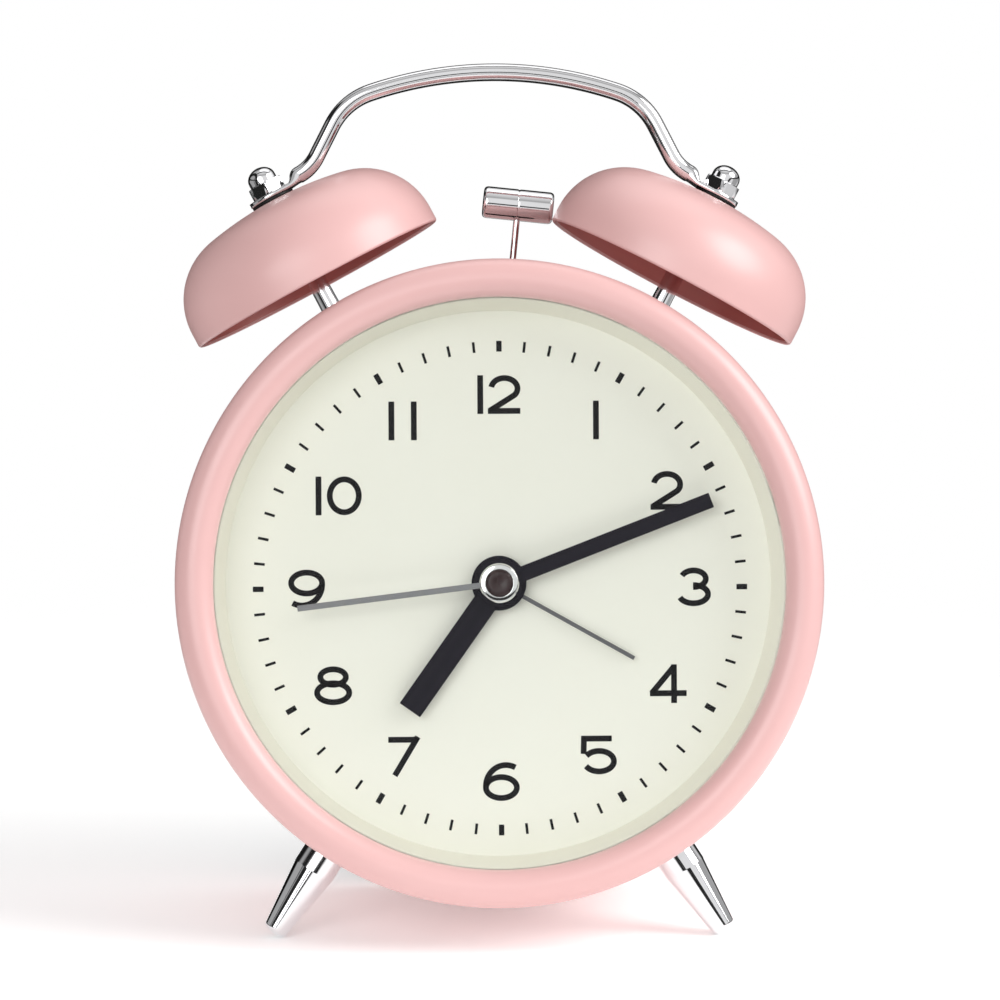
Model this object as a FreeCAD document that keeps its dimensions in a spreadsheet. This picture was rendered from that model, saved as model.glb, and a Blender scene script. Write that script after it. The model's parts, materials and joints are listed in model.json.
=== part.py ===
import FreeCAD, Part
import Sketcher
import math
import os
import re

# Twin-bell alarm clock. Every piece is drawn on the upright clock: x to the right of a person facing the
# dial, y rearward along the dial's axis, z up, the origin on that axis in the plane of the bezel's front.
# The finished clock leans back onto its two leg tips and the bottom edge of the case.

SIZES = {
    # front of the case
    "bezel_radius": 60.0, "bezel_face": 7.1, "bezel_wall": 1.9, "bezel_roll": 3.4, "bezel_skirt": 9.6,
    "bezel_fit": 0.1, "glass_thick": 1.6, "glass_gap": 0.3, "ring_step": 0.3, "ring_flare": 1.9,
    "ring_flange": 1.0, "ring_wall": 2.4, "dial_front": 12.4, "dial_thick": 0.6, "dial_overlap": 4.2,
    "ink": 0.06, "tick_margin": 4.7, "tick_long": 2.0, "hour_tick": 1.0, "minute_tick": 0.5,
    "numeral_inset": 8.0, "numeral_height": 7.2, "numeral_stroke": 1.05,
    # case
    "case_depth": 56.0, "drum_wall": 0.8, "drum_front": 6.2, "drum_bead": 1.7, "bead_wide": 1.2,
    "cover_inset": 3.8, "cover_thick": 1.6, "cover_gap": 0.1,
    # legs
    "leg_angle": 33.0, "leg_back": 17.5, "leg_radius": 4.0, "leg_straight": 6.0, "leg_length": 19.5,
    "leg_tip": 2.35, "leg_round": 1.2, "leg_stud": 1.95, "leg_nut_flats": 7.0, "leg_nut_high": 3.0,
    # bells and their posts
    "bell_tilt": 28.0, "bell_drop": 6.0, "bell_back": 28.0, "bell_gap": 7.67, "bell_radius": 25.4,
    "bell_lip": 2.8, "bell_shoulder": 13.8, "bell_crown": 70.0, "bell_wall": 1.0, "post_radius": 1.8,
    "post_collar": 3.4, "collar_high": 1.2, "stud_radius": 1.5, "stud_gap": 0.06, "washer_thick": 0.5,
    "washer_radius": 4.2, "post_nut_flats": 5.5, "post_nut_high": 2.4, "acorn_flats": 6.5,
    "acorn_hex": 2.3, "acorn_dome": 3.1, "acorn_ball": 2.7, "acorn_straight": 0.9,
    # handle
    "tab_thick": 0.9, "tab_radius": 4.3, "tab_reach": 9.0, "tab_clear": 0.2, "handle_thick": 3.0,
    "handle_wide": 7.0, "handle_bend": 8.0, "handle_slant": 63.0, "handle_corner": 12.5, "handle_arch": 73.5,
    "handle_top": 96.4,
    # hammer
    "hammer_back": 37.0, "pivot_up": 26.0, "pivot_radius": 1.0, "head_radius": 3.0, "head_length": 13.4,
    "head_round": 1.0, "head_rise": 4.06, "strike_gap": 0.83, "rod_radius": 0.6, "lever_thick": 1.6,
    "lever_hub": 2.2, "fork_reach": 9.0, "fork_half": 3.1, "fork_prong": 2.1, "fork_roof": 5.0,
    "fork_tail": 3.5, "lever_neck": 6.0, "slot_half": 7.0, "slot_wide": 3.4,
    # striker drive
    "striker_module": 0.4, "striker_teeth": 50, "motor_teeth": 10, "kick_offset": 1.2, "kick_radius": 0.6,
    "striker_plate": 1.2, "striker_depth": 9.6, "striker_half": 22.0, "striker_low": 6.0,
    "striker_high": 35.0, "spacer_x": 19.0, "spacer_low": 9.0, "spacer_high": 31.0, "spacer_radius": 2.2,
    "motor_radius": 8.0, "motor_long": 9.2, "motor_shaft": 0.75,
    # movement
    "gear_play": 0.08, "pivot_play": 0.05, "plate_thick": 1.6, "module_half": 27.0, "module_low": 31.0,
    "module_high": 22.0, "module_deep": 17.2, "shell_wall": 1.2, "middle_at": 20.4, "middle_thick": 1.0,
    "seconds_radius": 0.5, "cannon_radius": 1.0, "hour_pipe": 1.6, "alarm_pipe": 2.3, "bush_radius": 3.75,
    "bush_out": 0.9, "dial_nut_flats": 8.6, "wheel_thick": 0.8, "arbor_radius": 0.5,
    "motion_module": 0.4, "cannon_teeth": 12, "motion_teeth": 36, "motion_leaves": 10, "hour_teeth": 40,
    "set_leaves": 16, "alarm_teeth": 64, "alarm_leaves": 20, "set_drop": 6.0, "set_shaft": 1.2,
    "train_module": 0.3, "rotor_leaves": 8, "intermediate_teeth": 48, "intermediate_leaves": 12,
    "seconds_teeth": 60, "seconds_leaves": 8, "third_teeth": 60, "third_leaves": 8, "centre_teeth": 64,
    "rotor_magnet": 2.2, "stator_gap": 0.4, "coil_radius": 2.8, "core_radius": 1.1,
    # hands
    "second_level": 7.2, "minute_level": 8.3, "hour_level": 9.6, "alarm_level": 10.9, "hand_thick": 0.4,
    "hour_wide": 4.6, "hour_long": 28.8, "hour_hub": 5.1, "minute_wide": 2.85, "minute_long": 42.3,
    "minute_hub": 4.4, "second_wide": 1.1, "second_long": 37.7, "second_hub": 3.7, "alarm_wide": 0.75,
    "alarm_long": 28.8, "alarm_hub": 3.6, "cap_radius": 2.6, "cap_high": 0.8,
    # back of the clock
    "knob_radius": 6.5, "knob_high": 5.8, "knob_gap": 0.4, "knob_flutes": 24, "cell_radius": 7.25,
    "cell_long": 49.5, "cell_nub": 1.0, "nub_radius": 2.7, "cell_gap": 1.0, "cell_back": 43.5,
    "cell_up": -22.0, "tray_wall": 1.2, "tray_gap": 0.35, "tray_end": 2.7, "contact_thick": 0.4,
    "door_gap": 0.15, "door_rim": 1.0, "door_thick": 0.9, "door_grip": 1.2, "screw_head": 2.8,
    "screw_high": 1.8, "screw_shank": 1.2, "screw_long": 8.0, "switch_up": 42.0, "switch_travel": 4.0,
    "switch_stem": 1.3, "switch_half": 3.2, "switch_proud": 2.2,
}

# lengths that follow from the sizes above
DERIVED = {
    "drum": "bezel_radius - bezel_wall - bezel_fit",
    "drum_inside": "drum - drum_wall",
    "opening": "bezel_radius - bezel_face",
    "glass_back": "bezel_roll + glass_thick",
    "dial_window": "opening - ring_step - ring_flare",
    "dial_edge": "dial_window + dial_overlap",
    "dial_back": "dial_front + dial_thick",
    "cover_front": "case_depth - cover_inset",
    "cover_back": "cover_front + cover_thick",
    "leg_end": "drum + leg_length",
    "post_root": "bell_drop * cos(bell_tilt) + sqrt(drum^2 - (bell_drop * sin(bell_tilt))^2)",
    "bell_rim": "post_root + bell_gap",
    "bell_dish": "bell_radius - bell_shoulder",
    "crown_reach": "bell_crown - bell_shoulder",
    "crown_cos": "sqrt(1 - (bell_dish / crown_reach)^2)",
    "shoulder_share": "bell_dish / crown_reach",
    "crown_level": "bell_lip - crown_reach * crown_cos",
    "stud_hole": "stud_radius + stud_gap",
    "crown_in": "bell_rim + crown_level + bell_crown - bell_wall",
    "washer_at": "crown_in + bell_wall",
    "tab_at": "washer_at + washer_thick",
    "acorn_at": "tab_at + tab_thick",
    "acorn_cap": "acorn_dome - acorn_straight",
    "acorn_round": "(acorn_ball * acorn_ball + acorn_cap * acorn_cap) / (2 * acorn_cap)",
    "movement_back": "dial_back + module_deep",
    "shell_back": "movement_back - 1.4",
    "striker_front": "movement_back",
    "striker_open": "striker_front + striker_plate",
    "striker_rear": "striker_open + striker_depth",
    "striker_end": "striker_rear + striker_plate",
    "striker_up": "pivot_up - fork_reach",
    "striker_far": "striker_module * (striker_teeth + motor_teeth) / 2 + gear_play",
    "motion_far": "motion_module * (cannon_teeth + motion_teeth) / 2 + gear_play",
    "set_far": "motion_module * (set_leaves + motion_teeth) / 2 + gear_play",
    "alarm_far": "motion_module * (alarm_leaves + alarm_teeth) / 2 + gear_play",
    "set_x": "sqrt(alarm_far^2 - set_drop^2)",
    "seconds_far": "train_module * (intermediate_leaves + seconds_teeth) / 2 + gear_play",
    "rotor_far": "train_module * (rotor_leaves + intermediate_teeth) / 2 + gear_play",
    "third_far": "train_module * (seconds_leaves + third_teeth) / 2 + gear_play",
    "cell_low": "cell_up - 2 * cell_radius - cell_gap",
    "tray_top": "cell_up + cell_radius + tray_gap",
    "tray_low": "cell_low - cell_radius - tray_gap",
    "tray_half": "(cell_long + cell_nub) / 2 + tray_end",
    "tray_floor": "cell_back - cell_radius - tray_gap",
    "knob_at": "cover_back + knob_gap",
}

doc = FreeCAD.newDocument("alarm_clock")
sheet = doc.addObject("Spreadsheet::Sheet", "Sizes")
for row, (alias, size) in enumerate(SIZES.items(), start=1):
    sheet.set(f"A{row}", alias)
    sheet.set(f"B{row}", str(size))
    sheet.setAlias(f"B{row}", alias)
doc.recompute()

X_AXIS = FreeCAD.Vector(1, 0, 0)
Y_AXIS = FreeCAD.Vector(0, 1, 0)
made = []           # the sub-parts of the clock, each with its place on the upright clock


def bind(text):
    """Write a size expression in terms of the sheet's cells."""
    def cell(match):
        word = match.group(0)
        if word in DERIVED:
            return "(" + bind(DERIVED[word]) + ")"
        return "Sizes." + word if word in SIZES else word
    return re.sub(r"[a-z][a-z_]*", cell, str(text))


def value(text):
    """The present value of a size expression."""
    found = sheet.evalExpression(bind(text))
    return float(getattr(found, "Value", found))


def keep(piece, label, place=None):
    """Make an object a sub-part of the clock."""
    piece.Label = label
    made.append((piece, place or piece.Placement))
    return piece


def along_dial(x="0", z="0", y="0", turn="0"):
    """Place whose y axis is parallel to the dial's, turned clockwise as seen from the front."""
    return FreeCAD.Placement(FreeCAD.Vector(value(x), value(y), value(z)),
                             FreeCAD.Rotation(Y_AXIS, value(turn)))


def along_spoke(angle, y, z="0"):
    """Place whose y axis points away from the dial's axis, clockwise from the top."""
    rotation = FreeCAD.Rotation(Y_AXIS, value(angle)).multiply(FreeCAD.Rotation(X_AXIS, 90))
    return FreeCAD.Placement(FreeCAD.Vector(0, value(y), value(z)), rotation)


def bell_place(side):
    return along_spoke(f"{side} * bell_tilt", "bell_back", "-bell_drop")


def new_body(name, place=None):
    body = doc.addObject("PartDesign::Body", name)
    if place:
        body.Placement = place
    return body


def plane_sketch(body, role, name, front="0"):
    """Sketch on one of the body's own planes, moved rearward to the depth given."""
    sketch = body.newObject("Sketcher::SketchObject", name)
    plane = next(item for item in body.Origin.OriginFeatures if item.Role == role)
    sketch.AttachmentSupport = [(plane, "")]
    sketch.MapMode = "FlatFace"
    if front != "0":
        sketch.setExpression("AttachmentOffset.Base.z", bind(f"-({front})"))
    return sketch


def draw_outline(sketch, points, tag="p"):
    """Closed outline. A point is (across, along) or, for an arc that ends there, (across, along, radius);
    a positive radius bulges to the right of the way the outline runs."""
    spots = [FreeCAD.Vector(value(point[0]), value(point[1]), 0) for point in points]
    first = sketch.GeometryCount
    for index, point in enumerate(points):
        start, end = spots[index - 1], spots[index]
        if len(point) == 2:
            sketch.addGeometry(Part.LineSegment(start, end))
        else:
            radius = value(point[2])
            chord = end - start
            right = FreeCAD.Vector(chord.y, -chord.x, 0).normalize() * math.copysign(1, radius)
            rise = abs(radius) - math.sqrt(radius ** 2 - (chord.Length / 2) ** 2)
            sketch.addGeometry(Part.Arc(start, (start + end) / 2 + right * rise, end))
    for index, point in enumerate(points):
        edge, after = first + index, first + (index + 1) % len(points)
        spot, ends, starts = spots[index], 2, 1
        if len(point) == 3:
            ends = nearer_end(sketch, edge, spot)
        if len(points[(index + 1) % len(points)]) == 3:
            starts = nearer_end(sketch, after, spot)
        sketch.addConstraint(Sketcher.Constraint("Coincident", edge, ends, after, starts))
        for kind, text, size in (("DistanceX", point[0], spot.x), ("DistanceY", point[1], spot.y)):
            number = sketch.addConstraint(Sketcher.Constraint(kind, -1, 1, edge, ends, size))
            name_size(sketch, number, f"{tag}{index}{kind[-1]}", text)
        if len(point) == 3:
            number = sketch.addConstraint(Sketcher.Constraint("Radius", edge, abs(value(point[2]))))
            name_size(sketch, number, f"{tag}{index}R", f"abs({point[2]})")


def nearer_end(sketch, edge, spot):
    return 1 if sketch.getPoint(edge, 1).distanceToPoint(spot) < sketch.getPoint(edge, 2).distanceToPoint(
        spot) else 2


def name_size(sketch, number, name, text):
    sketch.renameConstraint(number, name)
    sketch.setExpression(f"Constraints.{name}", bind(text))


def draw_hole(sketch, across, along, radius, tag):
    centre = FreeCAD.Vector(value(across), value(along), 0)
    edge = sketch.addGeometry(Part.Circle(centre, FreeCAD.Vector(0, 0, 1), value(radius)))
    for kind, text, size in (("DistanceX", across, centre.x), ("DistanceY", along, centre.y)):
        number = sketch.addConstraint(Sketcher.Constraint(kind, -1, 1, edge, 3, size))
        name_size(sketch, number, f"{tag}{kind[-1]}", text)
    number = sketch.addConstraint(Sketcher.Constraint("Radius", edge, value(radius)))
    name_size(sketch, number, f"{tag}R", radius)


def turned(label, points, place=None, final=True):
    """Piece turned about its own y axis from an outline of (radius, depth) points."""
    body = new_body(label, place)
    sketch = plane_sketch(body, "XY_Plane", label + "_outline")
    draw_outline(sketch, points)
    revolution = body.newObject("PartDesign::Revolution", label + "_turned")
    revolution.Profile = sketch
    revolution.ReferenceAxis = (sketch, ["V_Axis"])
    revolution.Angle = 360
    return keep(body, label) if final else body


def padded(body, name, front, thick, outlines, holes=()):
    """Flat pad that faces the front, from outlines and round holes of (across, up, radius)."""
    sketch = plane_sketch(body, "XZ_Plane", name + "_outline", front)
    for number, points in enumerate(outlines):
        draw_outline(sketch, points, f"o{number}p")
    for number, (across, up, radius) in enumerate(holes):
        draw_hole(sketch, across, up, radius, f"h{number}")
    pad = body.newObject("PartDesign::Pad", name)
    pad.Profile = sketch
    pad.setExpression("Length", bind(thick))
    pad.Reversed = True
    return pad


def plate(label, front, thick, outlines, holes=(), place=None, final=True):
    body = new_body(label, place)
    padded(body, label + "_pad", front, thick, outlines, holes)
    return keep(body, label) if final else body


def rectangle(left, right, low, high):
    return [(left, low), (right, low), (right, high), (left, high)]


def rounded(left, right, low, high, bend):
    """Rectangle with round corners."""
    return [(f"{left} + {bend}", low, bend), (f"{right} - {bend}", low),
            (right, f"{low} + {bend}", bend), (right, f"{high} - {bend}"),
            (f"{right} - {bend}", high, bend), (f"{left} + {bend}", high),
            (left, f"{high} - {bend}", bend), (left, f"{low} + {bend}")]


def block(x_low, x_high, y_low, y_high, z_low, z_high):
    """Plain block between two corners."""
    box = doc.addObject("Part::Box", "block")
    for side, low, high in (("Length", x_low, x_high), ("Width", y_low, y_high), ("Height", z_low, z_high)):
        box.setExpression(side, bind(f"({high}) - ({low})"))
    box.Placement.Base = FreeCAD.Vector(value(x_low), value(y_low), value(z_low))
    return box


def pin(radius, front, back, x="0", z="0", place=None):
    """Round bar parallel to the y axis."""
    bar = doc.addObject("Part::Cylinder", "pin")
    bar.setExpression("Radius", bind(radius))
    bar.setExpression("Height", bind(f"({back}) - ({front})"))
    own = FreeCAD.Placement(FreeCAD.Vector(value(x), value(front), value(z)),
                            FreeCAD.Rotation(X_AXIS, -90))
    bar.Placement = place.multiply(own) if place else own
    return bar


def hex_bar(flats, front, back, place=None):
    """Hexagonal bar along the y axis."""
    bar = doc.addObject("Part::Prism", "hexagon")
    bar.Polygon = 6
    bar.setExpression("Circumradius", bind(f"({flats}) / sqrt(3)"))
    bar.setExpression("Height", bind(f"({back}) - ({front})"))
    own = FreeCAD.Placement(FreeCAD.Vector(0, value(front), 0), FreeCAD.Rotation(X_AXIS, -90))
    bar.Placement = place.multiply(own) if place else own
    return bar


def joined(pieces, name="joined"):
    whole = doc.addObject("Part::MultiFuse", name)
    whole.Shapes = pieces
    return whole


def cut(base, tools, name="cut"):
    result = doc.addObject("Part::Cut", name)
    result.Base = base
    result.Tool = joined(tools) if len(tools) > 1 else tools[0]
    return result


def grouped(label, pieces):
    """Identical pieces that share one node, each a solid of its own."""
    group = doc.addObject("Part::Compound", label)
    group.Links = pieces
    return keep(group, label)


def from_shape(label, shape, place=None):
    piece = doc.addObject("Part::Feature", label)
    piece.Shape = shape
    return keep(piece, label, place.multiply(piece.Placement) if place else piece.Placement)


# ---- front of the case ----

turned("front_bezel", [
    ("opening", "bezel_roll"), ("opening + bezel_roll", "0", "bezel_roll"),
    ("bezel_radius", "bezel_face - bezel_roll", "bezel_face - bezel_roll"),
    ("bezel_radius", "bezel_skirt"), ("bezel_radius - bezel_wall", "bezel_skirt"),
    ("bezel_radius - bezel_wall", "bezel_roll")])

turned("glass_lens", [
    ("0", "bezel_roll"), ("drum - glass_gap", "bezel_roll"), ("drum - glass_gap", "glass_back"),
    ("0", "glass_back")])

turned("dial_ring", [
    ("opening - ring_step", "glass_back"), ("drum - glass_gap", "glass_back"),
    ("drum - glass_gap", "drum_front"), ("opening + ring_wall - ring_step", "drum_front"),
    ("dial_edge", "dial_front"), ("dial_window", "dial_front")])

turned("dial", [
    ("bush_radius + 0.1", "dial_front"), ("dial_edge", "dial_front"), ("dial_edge", "dial_back"),
    ("bush_radius + 0.1", "dial_back")])


def ink_bar(start, end, wide):
    """Straight printed stroke between two points (across, up)."""
    run = FreeCAD.Vector(end[0] - start[0], 0, end[1] - start[1])
    side = FreeCAD.Vector(-run.z, 0, run.x).normalize() * (wide / 2)
    base = FreeCAD.Vector(start[0], 0, start[1])
    corners = [base - side, base + run - side, base + run + side, base + side]
    return Part.Face(Part.makePolygon(corners + corners[:1]))


def ink_arc(centre, radius, wide, first, last):
    """Round printed stroke from one angle to another, counter-clockwise from the right."""
    def on(reach, angle):
        turn = math.radians(angle)
        return FreeCAD.Vector(centre[0] + reach * math.cos(turn), 0, centre[1] + reach * math.sin(turn))
    outer, inner, middle = radius + wide / 2, radius - wide / 2, (first + last) / 2
    edges = [Part.Arc(on(outer, first), on(outer, middle), on(outer, last)).toShape(),
             Part.makeLine(on(outer, last), on(inner, last)),
             Part.Arc(on(inner, last), on(inner, middle), on(inner, first)).toShape(),
             Part.makeLine(on(inner, first), on(outer, first))]
    return Part.Face(Part.Wire(edges))


def digit_strokes(digit, tall, wide):
    """Strokes of one digit about its own centre, and its width."""
    top, bowl = (tall - wide) / 2, (tall - wide) * 0.3
    low, slim = bowl - top, tall * 0.29
    if digit == 0:
        ring = tall * 0.36
        return [ink_arc((0, top - ring), ring, wide, 0, 180), ink_arc((0, ring - top), ring, wide, 180, 360),
                ink_bar((-ring, ring - top), (-ring, top - ring), wide),
                ink_bar((ring, ring - top), (ring, top - ring), wide)], 2 * ring + wide
    if digit == 1:
        return [ink_bar((0, -tall / 2), (0, tall / 2), wide)], wide
    if digit == 2:
        ring = tall * 0.25
        turn = (ring * math.cos(math.radians(-40)), top - ring + ring * math.sin(math.radians(-40)))
        return [ink_arc((0, top - ring), ring, wide, -40, 170), ink_bar(turn, (-ring, -top), wide),
                ink_bar((-ring - wide / 2, -top), (ring + wide / 2, -top), wide)], 2 * ring + wide
    if digit == 3:
        upper = (tall - wide) * 0.23
        lower = (tall - wide) / 2 - upper
        return [ink_arc((0, top - upper), upper, wide, -90, 160),
                ink_arc((0, lower - top), lower, wide, -160, 90)], 2 * lower + wide
    if digit == 4:
        foot, stem = -tall * 0.2, tall * 0.16
        return [ink_bar((stem, -tall / 2), (stem, tall / 2), wide),
                ink_bar((-tall * 0.34, foot), (tall * 0.34, foot), wide),
                ink_bar((-tall * 0.31, foot), (stem - wide * 0.1, top), wide)], tall * 0.68
    if digit == 5:
        return [ink_arc((0, bowl - top), bowl, wide, -150, 130),
                ink_bar((-slim + wide / 2, -top + bowl * 1.72), (-slim * 0.72 + wide / 2, tall / 2), wide),
                ink_bar((-slim * 0.72, top), (bowl, top), wide)], 2 * bowl + wide
    if digit == 7:
        return [ink_bar((-slim, top), (slim + wide / 2, top), wide),
                ink_bar((slim, top), (-slim * 0.45, -tall / 2), wide)], 2 * slim + wide
    if digit == 8:
        upper = (tall - wide) * 0.22
        lower = (tall - wide) / 2 - upper
        return [ink_arc(centre, ring, wide, half, half + 180) for half in (0, 180)
                for centre, ring in (((0, top - upper), upper), ((0, lower - top), lower))], 2 * lower + wide
    stem_top = (bowl * 0.55, top)
    stem_low = (-bowl * math.cos(math.radians(25)), low + bowl * math.sin(math.radians(25)))
    six = [ink_arc((0, low), bowl, wide, 0, 180), ink_arc((0, low), bowl, wide, 180, 360),
           ink_bar(stem_low, stem_top, wide)]
    if digit == 9:
        for stroke in six:
            stroke.rotate(FreeCAD.Vector(), Y_AXIS, 180)
    return six, 2 * bowl + wide


def printed(strokes, across, up):
    """Join the strokes of one mark and raise it off the dial by the thickness of the ink."""
    mark = strokes[0].fuse(strokes[1:]).removeSplitter() if len(strokes) > 1 else strokes[0]
    mark.translate(FreeCAD.Vector(across, value("dial_front"), up))
    return mark.extrude(FreeCAD.Vector(0, -value("ink"), 0)).Solids


def dial_marks():
    marks = []
    outer = value("dial_window - tick_margin")
    inner = outer - value("tick_long")
    for minute in range(60):
        wide = value("hour_tick" if minute % 5 == 0 else "minute_tick")
        tick = ink_bar((0, inner), (0, outer), wide)
        tick.rotate(FreeCAD.Vector(), Y_AXIS, minute * 6)
        marks += printed([tick], 0, 0)
    tall, wide = value("numeral_height"), value("numeral_stroke")
    reach = inner - value("numeral_inset")
    for hour in range(1, 13):
        digits = [digit_strokes(int(digit), tall, wide) for digit in str(hour)]
        space = tall * 0.22
        across = reach * math.sin(math.radians(hour * 30))
        across -= (sum(width for _, width in digits) + space * (len(digits) - 1)) / 2
        for strokes, width in digits:
            marks += printed(strokes, across + width / 2, reach * math.cos(math.radians(hour * 30)))
            across += width + space
    return marks


from_shape("dial_print", Part.makeCompound(dial_marks()))


# ---- hands ----

def hand(label, level, wide, long, hub, bore, angle):
    """Hand that points up, then turned to where it stands at rest."""
    body = new_body(label, along_dial(turn=angle))
    padded(body, label + "_hub", level, "hand_thick", [], [("0", "0", hub), ("0", "0", bore)])
    root = f"{bore} + ({hub} - {bore}) / 2"
    padded(body, label + "_blade", level, "hand_thick",
           [rectangle(f"-{wide} / 2", f"{wide} / 2", root, long)])
    return keep(body, label)


hand("alarm_hand", "alarm_level", "alarm_wide", "alarm_long", "alarm_hub", "alarm_pipe", "119.3")
hand("hour_hand", "hour_level", "hour_wide", "hour_long", "hour_hub", "hour_pipe", "215.4")
hand("minute_hand", "minute_level", "minute_wide", "minute_long", "minute_hub", "cannon_radius", "68.9")
hand("second_hand", "second_level", "second_wide", "second_long", "second_hub", "seconds_radius", "263.1")

turned("hand_cap", [
    ("0", "second_level - cap_high"), ("cap_radius - cap_high / 2", "second_level - cap_high"),
    ("cap_radius", "second_level - cap_high / 2", "cap_high / 2"), ("cap_radius", "second_level"),
    ("0", "second_level")])


# ---- case, legs and bells ----

def case_drum():
    shell = turned("drum_shell", [
        ("drum", "drum_front"), ("drum", "case_depth"), ("drum_inside", "case_depth"),
        ("drum_inside", "cover_front"), ("drum_inside - drum_bead", "cover_front"),
        ("drum_inside - drum_bead", "cover_front - bead_wide"), ("drum_inside", "cover_front - bead_wide"),
        ("drum_inside", "drum_front")], final=False)
    tools = []
    for side in (-1, 1):
        leg = along_spoke(f"180 - {side} * leg_angle", "leg_back")
        tools.append(pin("leg_stud + pivot_play", "drum_inside - 2", "drum + 2", place=leg))
        tools.append(pin("stud_hole", "post_root - 3", "post_root + 3", place=bell_place(side)))
    slot = block("-slot_half", "slot_half", "hammer_back - slot_wide / 2", "hammer_back + slot_wide / 2",
                 "drum_inside - 3", "drum + 2")
    return keep(cut(shell, tools + [slot], "case_drum"), "case_drum")


case_drum()

leg_nuts, bell_washers, acorn_nuts, post_nuts = [], [], [], []
for side, name in ((-1, "left"), (1, "right")):
    leg = along_spoke(f"180 - {side} * leg_angle", "leg_back")
    turned("leg_" + name, [
        ("0", "drum_inside - leg_nut_high - 1"), ("leg_stud", "drum_inside - leg_nut_high - 1"),
        ("leg_stud", "drum"), ("leg_radius", "drum"), ("leg_radius", "drum + leg_straight"),
        ("leg_tip", "leg_end - leg_round"), ("leg_tip - leg_round", "leg_end", "leg_round"),
        ("0", "leg_end")], leg)
    leg_seat = "drum_inside - 0.2"
    leg_nuts.append(cut(hex_bar("leg_nut_flats", f"{leg_seat} - leg_nut_high", leg_seat, leg),
                        [pin("leg_stud", f"{leg_seat} - leg_nut_high - 1", f"{leg_seat} + 1", place=leg)]))

    place = bell_place(side)
    turned("bell_" + name, [
        ("stud_hole", "washer_at"),
        ("bell_dish + bell_shoulder * shoulder_share", "bell_rim + bell_lip + bell_shoulder * crown_cos",
         "-bell_crown"),
        ("bell_radius", "bell_rim + bell_lip", "-bell_shoulder"), ("bell_radius", "bell_rim"),
        ("bell_radius - bell_wall", "bell_rim"), ("bell_radius - bell_wall", "bell_rim + bell_lip"),
        ("bell_dish + (bell_shoulder - bell_wall) * shoulder_share",
         "bell_rim + bell_lip + (bell_shoulder - bell_wall) * crown_cos", "bell_shoulder - bell_wall"),
        ("stud_hole", "crown_in", "bell_crown - bell_wall")], place)
    turned(f"bell_post_{name}", [
        ("0", "post_root - 4.4"), ("stud_radius", "post_root - 4.4"), ("stud_radius", "post_root + 0.2"),
        ("post_collar", "post_root + 0.2"), ("post_collar", "post_root + 0.2 + collar_high"),
        ("post_radius", "post_root + 0.2 + collar_high"), ("post_radius", "crown_in - 0.1"),
        ("stud_radius", "crown_in - 0.1"), ("stud_radius", "acorn_at + 3.4"), ("0", "acorn_at + 3.4")], place)
    post_seat = "post_root - drum_wall - 0.3"
    post_nuts.append(cut(hex_bar("post_nut_flats", f"{post_seat} - post_nut_high", post_seat, place),
                         [pin("stud_radius", f"{post_seat} - post_nut_high - 1", f"{post_seat} + 1",
                              place=place)]))
    bell_washers.append(turned("washer", [
        ("stud_radius", "washer_at"), ("washer_radius", "washer_at"), ("washer_radius", "tab_at"),
        ("stud_radius", "tab_at")], place, final=False))
    dome = turned("dome", [
        ("0", "acorn_at + acorn_hex"), ("acorn_ball", "acorn_at + acorn_hex"),
        ("acorn_ball", "acorn_at + acorn_hex + acorn_straight"),
        ("0", "acorn_at + acorn_hex + acorn_dome", "acorn_round")], place, final=False)
    acorn_nuts.append(cut(joined([hex_bar("acorn_flats", "acorn_at", "acorn_at + acorn_hex", place), dome]),
                          [pin("stud_radius", "acorn_at - 1", "acorn_at + 3.5", place=place)]))

grouped("leg_nuts", leg_nuts)
grouped("bell_washers", bell_washers)
grouped("acorn_nuts", acorn_nuts)
grouped("post_nuts", post_nuts)


# ---- handle ----

def oval(centre, along, thick, wide):
    """Flat bar's section with round edges, square to a direction in the plane of the handle."""
    up = FreeCAD.Vector(-along.z, 0, along.x).normalize()
    bend, half, deep = thick * 0.46, thick / 2, wide / 2

    def spot(high, back):
        return centre + up * high + Y_AXIS * back
    corners = [(1, 1), (-1, 1), (-1, -1), (1, -1)]
    edges = []
    for number, (high, back) in enumerate(corners):
        after = corners[(number + 1) % 4]
        middle = bend * (1 - math.sqrt(0.5))
        first, last = (half, deep - bend), (half - bend, deep)
        if high != back:
            first, last = last, first
        edges.append(Part.Arc(spot(high * first[0], back * first[1]),
                              spot(high * (half - middle), back * (deep - middle)),
                              spot(high * last[0], back * last[1])).toShape())
        flat = (half - bend, deep) if high == back else (half, deep - bend)
        edges.append(Part.makeLine(spot(high * flat[0], back * flat[1]),
                                   spot(after[0] * flat[0], after[1] * flat[1])))
    return Part.Wire(edges)


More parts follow.
